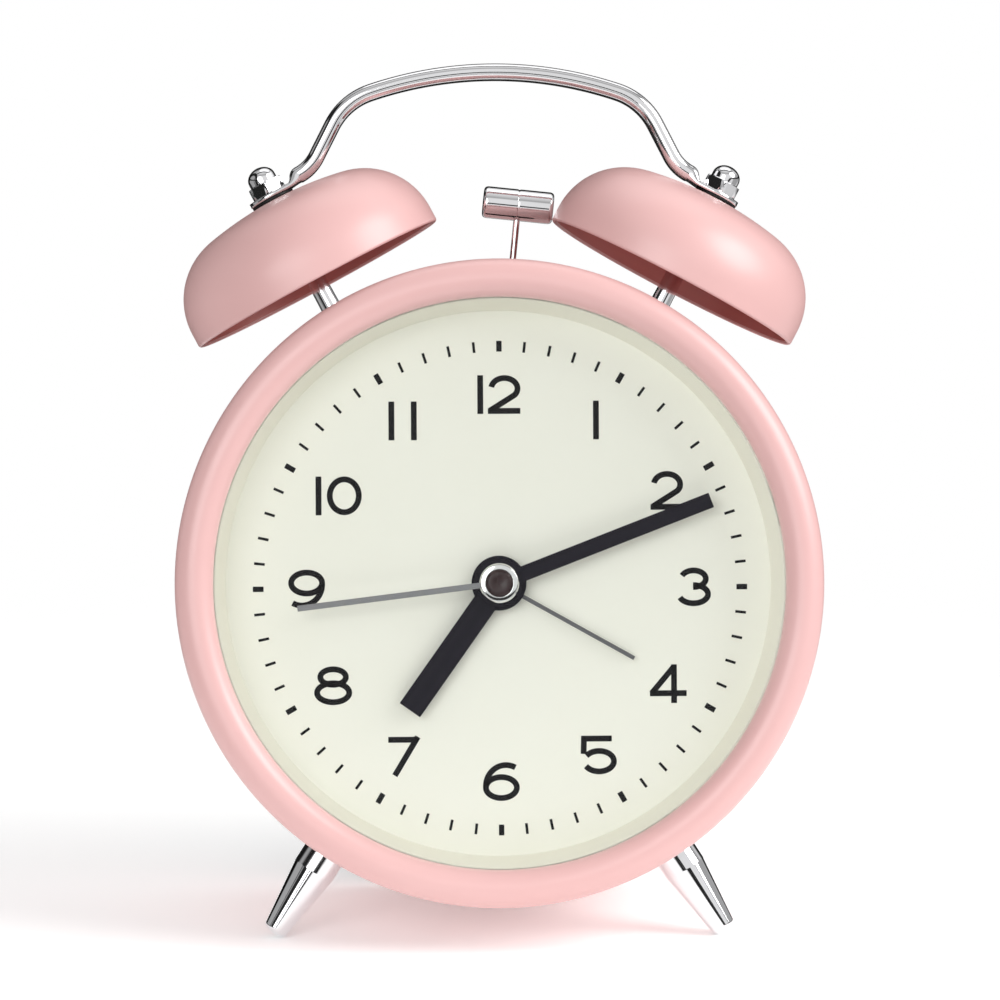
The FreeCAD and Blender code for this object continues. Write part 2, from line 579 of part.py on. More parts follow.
def handle_shape():
    """Bar bent from one bell post over to the other, with a flattened tab at each end."""
    tilt, slant = math.radians(value("bell_tilt")), math.radians(value("handle_slant"))
    thick, tab = value("handle_thick"), value("tab_thick")
    top, arch, corner = value("handle_top"), value("handle_arch"), value("handle_corner")
    bend = value("handle_bend")
    post = FreeCAD.Vector(-math.sin(tilt), 0, math.cos(tilt)) * (value("tab_at") + tab / 2)
    post += FreeCAD.Vector(0, 0, -value("bell_drop"))
    inward = FreeCAD.Vector(math.cos(tilt), 0, math.sin(tilt))
    normal = FreeCAD.Vector(-inward.z, 0, inward.x)
    climb = FreeCAD.Vector(math.cos(slant), 0, math.sin(slant))
    vertex = post + inward * value("tab_reach") + normal * ((thick - tab) / 2)      # underside stays flat
    setback = bend * math.tan((slant - tilt) / 2)
    # the corner's arc touches the slanted run and the arch from inside
    beside = vertex + FreeCAD.Vector(climb.z, 0, -climb.x) * corner - FreeCAD.Vector(0, 0, top - arch)
    along = beside.dot(climb)
    rise = -along + math.sqrt(along ** 2 - beside.dot(beside) + (arch - corner) ** 2)
    centre = beside + climb * rise + FreeCAD.Vector(0, 0, top - arch)
    side_touch = centre - FreeCAD.Vector(climb.z, 0, -climb.x) * corner
    arch_centre = FreeCAD.Vector(0, 0, top - arch)
    arch_touch = arch_centre + (centre - arch_centre).normalize() * arch

    def mirrored(spot):
        return FreeCAD.Vector(-spot.x, spot.y, spot.z)

    def arc_through(start, middle_of, radius, end):
        middle = middle_of + ((start + end) / 2 - middle_of).normalize() * radius
        return Part.Arc(start, middle, end).toShape()

    bend_start = vertex - inward * setback
    bend_end = vertex + climb * setback
    bend_centre = bend_start + FreeCAD.Vector(-inward.z, 0, inward.x) * bend
    left = [arc_through(bend_start, bend_centre, bend, bend_end), Part.makeLine(bend_end, side_touch),
            arc_through(side_touch, centre, corner, arch_touch)]
    over = Part.Arc(arch_touch, arch_centre + FreeCAD.Vector(0, 0, arch), mirrored(arch_touch)).toShape()
    right = [Part.makeLine(mirrored(side_touch), mirrored(bend_end)),
             arc_through(mirrored(arch_touch), mirrored(centre), corner, mirrored(side_touch)),
             arc_through(mirrored(bend_end), mirrored(bend_centre), bend, mirrored(bend_start))]
    path = Part.Wire(Part.__sortEdges__(left + [over] + right))
    bar = path.makePipeShell([oval(bend_start, inward, thick, value("handle_wide"))], True, False)
    pieces = [bar]
    for flip in (False, True):
        # flat as far as the nut reaches, then growing to the bar's full section
        round_end, neck = value("tab_radius"), value("acorn_flats") / math.sqrt(3) + value("tab_clear")
        taper = Part.makeLoft([oval(post + inward * (round_end * 0.31), inward, tab, round_end * 1.9),
                               oval(post + inward * neck, inward, tab, round_end * 1.85),
                               oval(bend_start, inward, thick, value("handle_wide"))], True, True)
        disc = Part.makeCylinder(round_end, tab, post - normal * (tab / 2), normal)
        hole = Part.makeCylinder(value("stud_radius"), tab * 4, post - normal * (tab * 2), normal)
        end = disc.fuse(taper).cut(hole)
        pieces.append(end.mirror(FreeCAD.Vector(), X_AXIS) if flip else end)
    shape = pieces[0].fuse(pieces[1:])
    shape.translate(FreeCAD.Vector(0, value("bell_back"), 0))
    return shape


from_shape("handle", handle_shape())


# ---- gears ----

def gear_disc(teeth, module, tooth_at, x, z, front, thick):
    """Spur gear with straight-sided teeth, one of them centred at the angle given."""
    pitch = 2 * math.pi / teeth
    tip, root = module * (teeth / 2 + 0.75), module * (teeth / 2 - 1.1)
    steps = [(root, -0.28), (tip, -0.11), (tip, 0.11), (root, 0.28)]
    spots = []
    for tooth in range(teeth):
        for reach, share in steps:
            angle = math.radians(tooth_at) + (tooth + share) * pitch
            spots.append(FreeCAD.Vector(x + reach * math.cos(angle), front, z + reach * math.sin(angle)))
    face = Part.Face(Part.makePolygon(spots + spots[:1]))
    return face.extrude(FreeCAD.Vector(0, thick, 0))


def mate_angle(tooth_at, teeth, toward, mate_teeth):
    """Angle of a tooth of the mating gear whose centre lies toward the direction given."""
    return toward + 180 - teeth / mate_teeth * (tooth_at - toward) - 180 / mate_teeth


def arbor(radius, front, back, x=0.0, z=0.0):
    return Part.makeCylinder(radius, back - front, FreeCAD.Vector(x, front, z), Y_AXIS)


def geared(label, discs, bars, bores=()):
    """Wheel made of toothed discs and round bars, bored for what it turns on."""
    shape = discs[0].fuse(discs[1:] + bars)
    for bore in bores:
        shape = shape.cut(bore)
    return from_shape(label, shape.removeSplitter())


def spot_at(far, angle, start=(0.0, 0.0)):
    turn = math.radians(angle)
    return start[0] + far * math.cos(turn), start[1] + far * math.sin(turn)


def direction(start, end):
    return math.degrees(math.atan2(end[1] - start[1], end[0] - start[0]))


count = {name: int(value(name)) for name in SIZES if name.endswith(("_teeth", "_leaves"))}
play, arbor_r = value("pivot_play"), value("arbor_radius")
motion_m, train_m, thick = value("motion_module"), value("train_module"), value("wheel_thick")
front_plate, middle = value("dial_back"), value("middle_at")
back_wall, movement_back = value("shell_back"), value("movement_back")
cannon_r, hour_r, alarm_r = value("cannon_radius"), value("hour_pipe"), value("alarm_pipe")
centre_spot = (0.0, 0.0)
time_spot = (-value("set_x"), -value("set_drop"))
alarm_spot = (value("set_x"), -value("set_drop"))

# the idle wheel between the time-setting shaft and the hour work closes a triangle of centre distances
reach, near, far = value("alarm_far"), value("motion_far"), value("set_far")
corner_angle = math.degrees(math.acos((near ** 2 + reach ** 2 - far ** 2) / (2 * near * reach)))
motion_angle = direction(centre_spot, time_spot) + corner_angle
motion_spot = spot_at(near, motion_angle)
third_spot = spot_at(value("third_far"), 90)
intermediate_spot = spot_at(value("seconds_far"), -90)
rotor_spot = spot_at(value("rotor_far"), -20, intermediate_spot)

# hour work, in front of the middle plate
ALARM_Y, HOUR_Y, LEAVES_Y, MOTION_Y, CANNON_Y = (front_plate + step for step in (2.2, 3.8, 3.6, 5.4, 5.2))
leaf = thick * 1.75
alarm_hub = arbor(alarm_r + 1.2, front_plate + value("plate_thick") + 0.1, ALARM_Y + thick)
geared("alarm_wheel", [gear_disc(count["alarm_teeth"], motion_m, 0, 0, 0, ALARM_Y, thick)],
       [alarm_hub, arbor(alarm_r, value("alarm_level"), ALARM_Y)],
       [arbor(hour_r + play + 0.01, value("alarm_level") - 1, ALARM_Y + thick + 1)])
hour_module = (near - value("gear_play")) * 2 / (count["motion_leaves"] + count["hour_teeth"])
geared("hour_wheel", [gear_disc(count["hour_teeth"], hour_module, 0, 0, 0, HOUR_Y, thick)],
       [arbor(hour_r, value("hour_level"), HOUR_Y)],
       [arbor(cannon_r + play + 0.01, value("hour_level") - 1, HOUR_Y + thick + 1)])
cannon_tooth = 0
cannon_end = middle + value("middle_thick") + 1.6
geared("cannon_pinion", [gear_disc(count["cannon_teeth"], motion_m, cannon_tooth, 0, 0, CANNON_Y, leaf)],
       [arbor(cannon_r, value("minute_level"), cannon_end)],
       [arbor(value("seconds_radius") + play, value("minute_level") - 1, cannon_end + 1)])
motion_tooth = mate_angle(cannon_tooth, count["cannon_teeth"], motion_angle, count["motion_teeth"])
leaves_tooth = mate_angle(0, count["hour_teeth"], motion_angle, count["motion_leaves"])
geared("motion_wheel",
       [gear_disc(count["motion_teeth"], motion_m, motion_tooth, *motion_spot, MOTION_Y, thick),
        gear_disc(count["motion_leaves"], hour_module, leaves_tooth, *motion_spot, LEAVES_Y,
                  MOTION_Y - LEAVES_Y)], [],
       [arbor(0.8 + play, LEAVES_Y - 1, MOTION_Y + 2, *motion_spot)])

# setting shafts, from the hour work to the knobs
shaft_r, knob_end = value("set_shaft"), value("knob_at + knob_high - 1")
for label, spot, mate, mate_tooth, mate_teeth, leaves, level in (
        ("time_set_shaft", time_spot, motion_spot, motion_tooth, count["motion_teeth"],
         count["set_leaves"], CANNON_Y),
        ("alarm_set_shaft", alarm_spot, centre_spot, 0, count["alarm_teeth"],
         count["alarm_leaves"], ALARM_Y - 0.3)):
    tooth = mate_angle(mate_tooth, mate_teeth, direction(mate, spot), leaves)
    geared(label, [gear_disc(leaves, motion_m, tooth, *spot, level, leaf)],
           [arbor(shaft_r, front_plate + 0.5, knob_end, *spot)])

# train that keeps time, between the middle plate and the shell's back
CENTRE_Y, THIRD_Y, SECONDS_Y, INTER_Y = (middle + step for step in (1.8, 3.6, 5.4, 7.0))
pivot_front, pivot_back = middle + 0.3, movement_back - 0.5
centre_pair = count["third_leaves"] + count["centre_teeth"]
centre_module = (value("third_far") - value("gear_play")) * 2 / centre_pair
geared("centre_wheel", [gear_disc(count["centre_teeth"], centre_module, 0, 0, 0, CENTRE_Y, thick)], [],
       [arbor(cannon_r + play, CENTRE_Y - 1, CENTRE_Y + 2)])
third_wheel_tooth = mate_angle(0, count["seconds_leaves"], 90, count["third_teeth"])
geared("third_wheel",
       [gear_disc(count["third_teeth"], train_m, third_wheel_tooth, *third_spot, THIRD_Y, thick),
        gear_disc(count["third_leaves"], centre_module,
                  mate_angle(0, count["centre_teeth"], 90, count["third_leaves"]),
                  *third_spot, CENTRE_Y - 0.2, THIRD_Y - CENTRE_Y + 0.2)],
       [arbor(arbor_r, pivot_front, pivot_back, *third_spot)])
geared("seconds_wheel",
       [gear_disc(count["seconds_teeth"], train_m, 0, 0, 0, SECONDS_Y, thick),
        gear_disc(count["seconds_leaves"], train_m, 0, 0, 0, THIRD_Y - 0.2, SECONDS_Y - THIRD_Y + 0.2)],
       [arbor(value("seconds_radius"), value("second_level"), pivot_back)])
geared("intermediate_wheel",
       [gear_disc(count["intermediate_teeth"], train_m, 0, *intermediate_spot, INTER_Y, thick),
        gear_disc(count["intermediate_leaves"], train_m,
                  mate_angle(0, count["seconds_teeth"], -90, count["intermediate_leaves"]),
                  *intermediate_spot, SECONDS_Y - 0.2, INTER_Y - SECONDS_Y + 0.2)],
       [arbor(arbor_r, pivot_front, pivot_back, *intermediate_spot)])
geared("rotor",
       [gear_disc(count["rotor_leaves"], train_m,
                  mate_angle(0, count["intermediate_teeth"], -20, count["rotor_leaves"]),
                  *rotor_spot, INTER_Y - 0.2, 1.2)],
       [arbor(arbor_r, pivot_front, pivot_back, *rotor_spot),
        arbor(value("rotor_magnet"), THIRD_Y - 0.6, SECONDS_Y + 0.6, *rotor_spot)])

# ---- plates, coil and circuit of the movement ----

front_y, plate_y = "dial_back", "dial_back + plate_thick"
half, low, high = "module_half", "-module_low", "module_high"
holes = [("0", "0", "alarm_pipe + pivot_play")]
holes += [(f"{side} * set_x", "-set_drop", "set_shaft + pivot_play") for side in (-1, 1)]


def front_plate_shape():
    body = new_body("movement_front_plate")
    padded(body, "front_pad", front_y, "plate_thick", [rounded(f"-{half}", half, low, high, "2")], holes)
    padded(body, "bushing_pad", "dial_front - bush_out", "dial_back - dial_front + bush_out", [],
           [("0", "0", "bush_radius"), ("0", "0", "alarm_pipe + pivot_play")])
    return keep(body, "movement_front_plate")


front_plate_shape()
nut = hex_bar("dial_nut_flats", "dial_front - bush_out", "dial_front")
keep(cut(nut, [pin("bush_radius + 0.01", "dial_front - 3", "dial_back")], "dial_nut"), "dial_nut")


def round_hole(spot, radius, front, back):
    return arbor(radius, front, back, *spot)


def middle_plate():
    inset = value("shell_wall") + 0.2
    left, wide = -value("module_half") + inset, 2 * (value("module_half") - inset)
    bottom, tall = -value("module_low") + inset, value("module_low") + value("module_high") - 2 * inset
    shape = Part.makeBox(wide, value("middle_thick"), tall, FreeCAD.Vector(left, middle, bottom))
    shape = shape.fuse(arbor(0.8, LEAVES_Y - 0.3, middle, *motion_spot))
    back = middle + value("middle_thick") + 1
    for spot, radius in ((centre_spot, cannon_r + 0.1), (time_spot, shaft_r + 0.1),
                         (alarm_spot, shaft_r + 0.1), (third_spot, arbor_r + play),
                         (intermediate_spot, arbor_r + play), (rotor_spot, arbor_r + play)):
        shape = shape.cut(round_hole(spot, radius, middle - 0.5, back))
    return shape


from_shape("movement_middle_plate", middle_plate())


def movement_shell():
    outer = block(f"-{half}", half, plate_y, "movement_back", low, high)
    inner = block(f"-{half} + shell_wall", f"{half} - shell_wall", f"{plate_y} - 1", "shell_back",
                  f"{low} + shell_wall", f"{high} - shell_wall")
    tools = [inner]
    for spot, radius in ((time_spot, shaft_r + play), (alarm_spot, shaft_r + play),
                         (centre_spot, arbor_r + play), (third_spot, arbor_r + play),
                         (intermediate_spot, arbor_r + play), (rotor_spot, arbor_r + play)):
        tools.append(pin(radius, "shell_back - 1", "movement_back + 1", spot[0], spot[1]))
    return keep(cut(outer, tools, "movement_shell"), "movement_shell")


movement_shell()


def coil_and_stator():
    """Laminated stator around the rotor, its core through the coil below it."""
    x, z = rotor_spot
    front, deep = THIRD_Y + 0.4, 0.9
    upper = Part.makeBox(13, deep, 11.5, FreeCAD.Vector(x - 6.4, front, z - 6))
    legs = [Part.makeBox(2, deep, 8.5, FreeCAD.Vector(side, front, z - 14))
            for side in (x - 6.4, x + 4.6)]
    coil_z, coil_y = z - 11.6, front + deep / 2
    core_r, coil_r = value("core_radius"), value("coil_radius")
    core = Part.makeBox(9.4, deep, 1.6, FreeCAD.Vector(x - 4.6, front, coil_z - 0.8))
    hole = arbor(value("rotor_magnet + stator_gap"), front - 1, front + deep + 1, x, z)
    from_shape("stator", upper.fuse(legs + [core]).removeSplitter().cut(hole))
    start = FreeCAD.Vector(x - 4.2, coil_y, coil_z)
    winding = Part.makeCylinder(coil_r, 8.6, start, X_AXIS)
    from_shape("coil", winding.cut(Part.makeCylinder(core_r, 12, start - X_AXIS * 2, X_AXIS)))


coil_and_stator()
board_z = ("-module_low + shell_wall + 0.6", "-module_low + shell_wall + 14.6")
keep(block("-module_half + shell_wall + 0.6", "-4", "middle_at + middle_thick + 0.4",
           "middle_at + middle_thick + 1.2", *board_z), "circuit_board")


# ---- striker ----

striker_spot = (0.0, value("striker_up"))
motor_spot = (value("striker_far"), value("striker_up"))
spacers = [(f"{side} * spacer_x", up) for side in (-1, 1) for up in ("spacer_low", "spacer_high")]
outline = [rounded("-striker_half", "striker_half", "striker_low", "striker_high", "2")]
plate("striker_front_plate", "striker_front", "striker_plate", outline, [("0", "striker_up", "0.8")])
plate("striker_back_plate", "striker_rear", "striker_plate", outline,
      [("0", "pivot_up", "pivot_radius"), ("striker_far", "striker_up", "motor_shaft + 0.5")])
grouped("striker_spacers", [pin("spacer_radius", "striker_open", "striker_rear", x, z) for x, z in spacers])
grouped("cover_posts", [cut(pin("spacer_radius", "striker_end", "cover_front", x, z),
                            [pin("screw_shank", "cover_front - screw_long", "cover_front + 1", x, z)])
                        for x, z in spacers])

WHEEL_Y = value("striker_open") + 1.2
striker_m = value("striker_module")
kick_end = value("hammer_back + lever_thick / 2") + 0.5
geared("striker_wheel",
       [gear_disc(count["striker_teeth"], striker_m, 0, *striker_spot, WHEEL_Y, 1.0)],
       [arbor(value("kick_radius"), WHEEL_Y, kick_end, striker_spot[0],
              striker_spot[1] + value("kick_offset")),
        arbor(2.0, WHEEL_Y - 0.8, WHEEL_Y, *striker_spot)],
       [arbor(0.8 + play, WHEEL_Y - 2, WHEEL_Y + 0.8, *striker_spot)])
keep(pin("0.8", "striker_front", "striker_open + 1.8", "0", "striker_up"), "striker_stud")
geared("motor_pinion",
       [gear_disc(count["motor_teeth"], striker_m,
                  mate_angle(0, count["striker_teeth"], 0, count["motor_teeth"]),
                  *motor_spot, WHEEL_Y - 0.2, 1.4)],
       [arbor(value("motor_shaft"), WHEEL_Y - 0.8, value("striker_end") + 5, *motor_spot)])
keep(cut(pin("motor_radius", "striker_end", "striker_end + motor_long", "striker_far", "striker_up"),
         [pin("motor_shaft + pivot_play", "striker_end - 1", "striker_end + 5.5", "striker_far",
              "striker_up")], "motor"), "motor")
keep(pin("pivot_radius", "hammer_back - lever_thick / 2 - 0.9", "striker_end", "0", "pivot_up"),
     "hammer_pivot_pin")


# ---- hammer ----

def hammer_lean():
    """Swing of the hammer at rest: its head stands just clear of the right-hand bell's rim."""
    tilt = math.radians(value("bell_tilt"))
    depth = value("hammer_back - bell_back")
    flank = math.sqrt(value("bell_radius") ** 2 - depth ** 2)
    rim = value("bell_rim")
    x = rim * math.sin(tilt) - flank * math.cos(tilt)
    z = rim * math.cos(tilt) - value("bell_drop") + flank * math.sin(tilt)
    head_x = x - value("head_length / 2 + strike_gap")
    head_z = z + value("head_rise") - value("pivot_up")
    return math.degrees(math.atan2(head_x, head_z)), math.hypot(head_x, head_z)


hammer_rest, hammer_reach = hammer_lean()
hammer_place = along_dial("0", "pivot_up", "0", str(hammer_rest))
plate("hammer_lever", "hammer_back - lever_thick / 2", "lever_thick", [[
    ("-fork_half - fork_prong", "-fork_reach - fork_tail"), ("-fork_half", "-fork_reach - fork_tail"),
    ("-fork_half", "-fork_roof"), ("fork_half", "-fork_roof"), ("fork_half", "-fork_reach - fork_tail"),
    ("fork_half + fork_prong", "-fork_reach - fork_tail"), ("fork_half + fork_prong", "-lever_hub"),
    ("lever_hub", "lever_hub"), ("1.2", "lever_neck"), ("-1.2", "lever_neck"),
    ("-lever_hub", "lever_hub"), ("-fork_half - fork_prong", "-lever_hub")]],
    [("0", "0", "pivot_radius + pivot_play")], hammer_place)


def hammer_parts():
    centre = FreeCAD.Vector(0, value("hammer_back"), hammer_reach)
    neck = FreeCAD.Vector(0, value("hammer_back"), value("lever_neck"))
    up = FreeCAD.Vector(0, 0, 1)
    rod = Part.makeCylinder(value("rod_radius"), hammer_reach - value("lever_neck"), neck, up)
    from_shape("hammer_rod", rod, hammer_place)
    length = value("head_length")
    head = Part.makeCylinder(value("head_radius"), length, centre - X_AXIS * (length / 2), X_AXIS)
    head = head.makeFillet(value("head_round"), [edge for edge in head.Edges if edge.isClosed()])
    from_shape("hammer_head", head.cut(rod), hammer_place)


hammer_parts()


# ---- back of the clock ----

tray = ("-tray_half", "tray_half", "tray_floor", "cover_front", "tray_low", "tray_top")


def rear_cover():
    disc = turned("cover_disc", [("0", "cover_front"), ("drum_inside - cover_gap", "cover_front"),
                                 ("drum_inside - cover_gap", "cover_back"), ("0", "cover_back")],
                  final=False)
    wall = "tray_wall"
    box = block(f"-tray_half - {wall}", f"tray_half + {wall}", f"tray_floor - {wall}", "cover_front",
                f"tray_low - {wall}", f"tray_top + {wall}")
    tools = [block(*tray),
             block("-tray_half", "tray_half", "cover_front - 1", "cover_back + 1", "tray_low", "tray_top"),
             block("-tray_half - door_rim", "tray_half + door_rim", "cover_back - door_thick",
                   "cover_back + 1", "tray_low - door_rim", "tray_top + door_rim"),
             block("-switch_travel / 2 - switch_stem - 0.2", "switch_travel / 2 + switch_stem + 0.2",
                   "cover_front - 1", "cover_back + 1", "switch_up - switch_stem - 0.15",
                   "switch_up + switch_stem + 0.15")]
    for side in (-1, 1):
        tools.append(pin("set_shaft + 0.25", "cover_front - 1", "cover_back + 1", f"{side} * set_x",
                         "-set_drop"))
    for x, z in spacers:
        tools.append(pin("screw_shank + 0.2", "cover_front - 1", "cover_back + 1", x, z))
    return keep(cut(joined([disc, box]), tools, "rear_cover"), "rear_cover")


rear_cover()
door = [rectangle("-tray_half - door_rim + door_gap", "tray_half + door_rim - door_gap",
                  "tray_low - door_rim + door_gap", "tray_top + door_rim - door_gap")]
door_body = new_body("battery_door")
padded(door_body, "door_plate", "cover_back - door_thick", "door_thick", door)
padded(door_body, "door_grip", "cover_back", "door_grip",
       [rectangle("-7", "7", f"tray_top - {shift + 1}", f"tray_top - {shift}")
        for shift in (2, 4, 6)])
keep(door_body, "battery_door")


def battery_cell(up, side):
    """Cylinder cell on its side, its small end toward the side given."""
    place = FreeCAD.Placement(FreeCAD.Vector(0, value("cell_back"), value(up)),
                              FreeCAD.Rotation(FreeCAD.Vector(0, 0, 1), -90 * side))
    start = "-(cell_long + cell_nub) / 2"
    return turned("cell", [
        ("0", start), ("cell_radius", start), ("cell_radius", f"{start} + cell_long"),
        ("nub_radius", f"{start} + cell_long"), ("nub_radius", f"{start} + cell_long + cell_nub"),
        ("0", f"{start} + cell_long + cell_nub")], place, final=False)


grouped("battery_cells", [battery_cell("cell_up", 1), battery_cell("cell_low", -1)])


def contact(up, side):
    """Plate against the tray's end with a tapered spring that presses on the cell."""
    place = FreeCAD.Placement(FreeCAD.Vector(0, value("cell_back"), value(up)),
                              FreeCAD.Rotation(FreeCAD.Vector(0, 0, 1), -90 * side))
    touch, wall = "(cell_long + cell_nub) / 2", "tray_half"
    return turned("contact", [
        ("0", touch), ("nub_radius - 0.5", touch), ("nub_radius + 1", f"{wall} - contact_thick"),
        ("cell_radius - 1.5", f"{wall} - contact_thick"), ("cell_radius - 1.5", wall), ("0", wall)],
        place, final=False)


grouped("battery_contacts", [contact(up, side) for up in ("cell_up", "cell_low") for side in (-1, 1)])

grouped("cover_screws", [
    joined([pin("screw_head", "cover_back", "cover_back + screw_high", x, z),
            pin("screw_shank", "cover_back - screw_long", "cover_back", x, z)]) for x, z in spacers])


def knob(label, spot):
    """Round knob with fluted sides, bored for its shaft."""
    radius, front, tall = value("knob_radius"), value("knob_at"), value("knob_high")
    flutes, steps = int(value("knob_flutes")), 6
    spots = []
    for step in range(flutes * steps):
        swell = 0.5 + 0.5 * math.cos(2 * math.pi * step / steps)
        turn = 2 * math.pi * step / (flutes * steps)
        reach = radius - 0.45 + 0.45 * swell
        spots.append(FreeCAD.Vector(spot[0] + reach * math.cos(turn), front + 0.8,
                                    spot[1] + reach * math.sin(turn)))
    grip = Part.Face(Part.makePolygon(spots + spots[:1])).extrude(FreeCAD.Vector(0, tall - 0.8, 0))
    collar = arbor(radius - 1.2, front, front + 0.8, *spot)
    bore = arbor(value("set_shaft"), front - 1, value("knob_at + knob_high - 1"), *spot)
    return from_shape(label, grip.fuse(collar).cut(bore).removeSplitter())


knob("time_set_knob", time_spot)
knob("alarm_set_knob", alarm_spot)


def alarm_switch():
    shift = "-switch_travel / 2"
    stem = block(f"{shift} - switch_stem", f"{shift} + switch_stem", "cover_front - 0.2",
                 "cover_back + 0.2", "switch_up - switch_stem", "switch_up + switch_stem")
    inner = block(f"{shift} - switch_half - 1.5", f"{shift} + switch_half + 1.5", "cover_front - 1.2",
                  "cover_front - 0.15", "switch_up - switch_stem - 1", "switch_up + switch_stem + 1")
    outer = block(f"{shift} - switch_half", f"{shift} + switch_half", "cover_back + 0.15",
                  "cover_back + switch_proud", "switch_up - switch_stem - 0.8",
                  "switch_up + switch_stem + 0.8")
    return keep(joined([stem, inner, outer], "alarm_switch"), "alarm_switch")


alarm_switch()


# ---- the finished clock ----

def lean_angle():
    """Lean at which the leg tips and the bottom rear edge of the case reach the table together."""
    spoke = math.radians(value("leg_angle"))
    foot = value("leg_end - leg_round")
    ring = value("leg_tip - leg_round")

    def height(lean):
        down = math.cos(lean)
        axial = down * math.cos(spoke)
        leg = foot * axial + ring * math.sqrt(1 - axial ** 2) + value("leg_round")
        leg += value("leg_back") * math.sin(lean)
        return leg - (value("drum") * down + value("case_depth") * math.sin(lean))

    low, high = 0.0, math.radians(30)
    for _ in range(60):
        middle = (low + high) / 2
        low, high = (middle, high) if height(middle) > 0 else (low, middle)
    return math.degrees(low)


def stand_up():
    """Lean the clock back and move it so that the middle of its box stands on the origin."""
    lean = FreeCAD.Placement(FreeCAD.Vector(), FreeCAD.Rotation(X_AXIS, -lean_angle()))
    for piece, place in made:
        piece.Placement = lean.multiply(place)
    doc.recompute()
    box = Part.makeCompound([piece.Shape for piece, place in made]).optimalBoundingBox(False)
    shift = FreeCAD.Placement(FreeCAD.Vector(-(box.XMin + box.XMax) / 2, -(box.YMin + box.YMax) / 2,
                                             -box.ZMin), FreeCAD.Rotation())
    for piece, place in made:
        piece.Placement = shift.multiply(lean).multiply(place)
    doc.recompute()
    return shift.multiply(lean)


def check_and_write():
    for item in doc.Objects:
        if "Invalid" in item.State or "Error" in item.State:
            raise RuntimeError(f"{item.Name} did not build")
    for piece, place in made:
        if piece.Shape.isNull() or not piece.Shape.isValid():
            raise RuntimeError(f"{piece.Label} has no valid shape")
    os.makedirs("parts", exist_ok=True)
    for piece, place in made:
        piece.Shape.exportStep(f"parts/{piece.Label}.step")


doc.recompute()
clock_place = stand_up()
check_and_write()
print(f"{len(made)} sub-parts, leaning back {lean_angle():.3f} degrees")
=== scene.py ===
import json
import math
import bmesh
import bpy
from mathutils import Matrix, Vector


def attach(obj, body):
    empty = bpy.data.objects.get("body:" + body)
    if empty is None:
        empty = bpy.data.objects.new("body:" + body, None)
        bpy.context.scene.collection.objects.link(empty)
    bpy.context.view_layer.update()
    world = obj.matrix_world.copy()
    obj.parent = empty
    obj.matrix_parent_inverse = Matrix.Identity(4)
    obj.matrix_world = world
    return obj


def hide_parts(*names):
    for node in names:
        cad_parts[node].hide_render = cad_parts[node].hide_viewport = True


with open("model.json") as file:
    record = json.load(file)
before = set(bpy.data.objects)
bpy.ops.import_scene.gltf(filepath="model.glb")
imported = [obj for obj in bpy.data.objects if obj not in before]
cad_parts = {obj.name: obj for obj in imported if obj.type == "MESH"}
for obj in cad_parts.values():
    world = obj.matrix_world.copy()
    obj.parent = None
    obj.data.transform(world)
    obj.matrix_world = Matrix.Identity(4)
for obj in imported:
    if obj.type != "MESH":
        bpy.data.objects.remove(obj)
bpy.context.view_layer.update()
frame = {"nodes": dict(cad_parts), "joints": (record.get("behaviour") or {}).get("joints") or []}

# the clock's own frame, in millimetres: x right, y into the dial, z up

joints = {joint["name"]: joint for joint in frame["joints"]}
dialAxis = Vector(joints["minute_turn"]["axis"]).normalized()
acrossAxis = Vector((1, 0, 0))
upAxis = acrossAxis.cross(dialAxis)
mm = 0.001


def placeOf(origin, x, y, z):
    turn = Matrix((x, y, z)).transposed().to_4x4()
    return Matrix.Translation(origin) @ turn @ Matrix.Scale(mm, 4)


def pointsOf(node, place):
    inverse = place.inverted()
    return [inverse @ vertex.co for vertex in frame["nodes"][node].data.vertices]


def localBox(node):
    spots = pointsOf(node, clock)
    return (Vector([min(spot[i] for spot in spots) for i in range(3)]),
            Vector([max(spot[i] for spot in spots) for i in range(3)]))


clock = placeOf(Vector(joints["minute_turn"]["pos_m"]), acrossAxis, dialAxis, upAxis)
bezelFront = localBox("front_bezel")[0].y
clock = clock @ Matrix.Translation((0, bezelFront, 0))


def spindle(node, angle):
    # place whose y runs along a turned piece, read from the middles of its two ends; angle is from the top
    turn = math.radians(angle)
    guess = Vector((math.sin(turn), 0, math.cos(turn)))
    spots = pointsOf(node, clock)
    reach = [spot.dot(guess) for spot in spots]
    ends = []
    for limit in (min(reach), max(reach)):
        near = [spot for spot, along in zip(spots, reach) if abs(along - limit) < 0.05]
        ends.append(sum(near, Vector()) / len(near))
    along = (ends[1] - ends[0]).normalized()
    back = Vector((0, 1, 0))
    side = along.cross(-back).normalized()
    turned = Matrix((side, along, side.cross(along))).transposed().to_4x4()
    return clock @ Matrix.Translation(ends[0]) @ turned


def sizeOf(node, place):
    spots = pointsOf(node, place)
    return (max(math.hypot(spot.x, spot.z) for spot in spots), min(spot.y for spot in spots),
            max(spot.y for spot in spots))


# outlines and meshes

def arc(across, along, radius, first, last, steps=10):
    # points round a centre; 0 degrees points outward, 90 degrees along the axis
    turns = [math.radians(first + (last - first) * step / steps) for step in range(steps + 1)]
    return [(across + radius * math.cos(turn), along + radius * math.sin(turn)) for turn in turns]


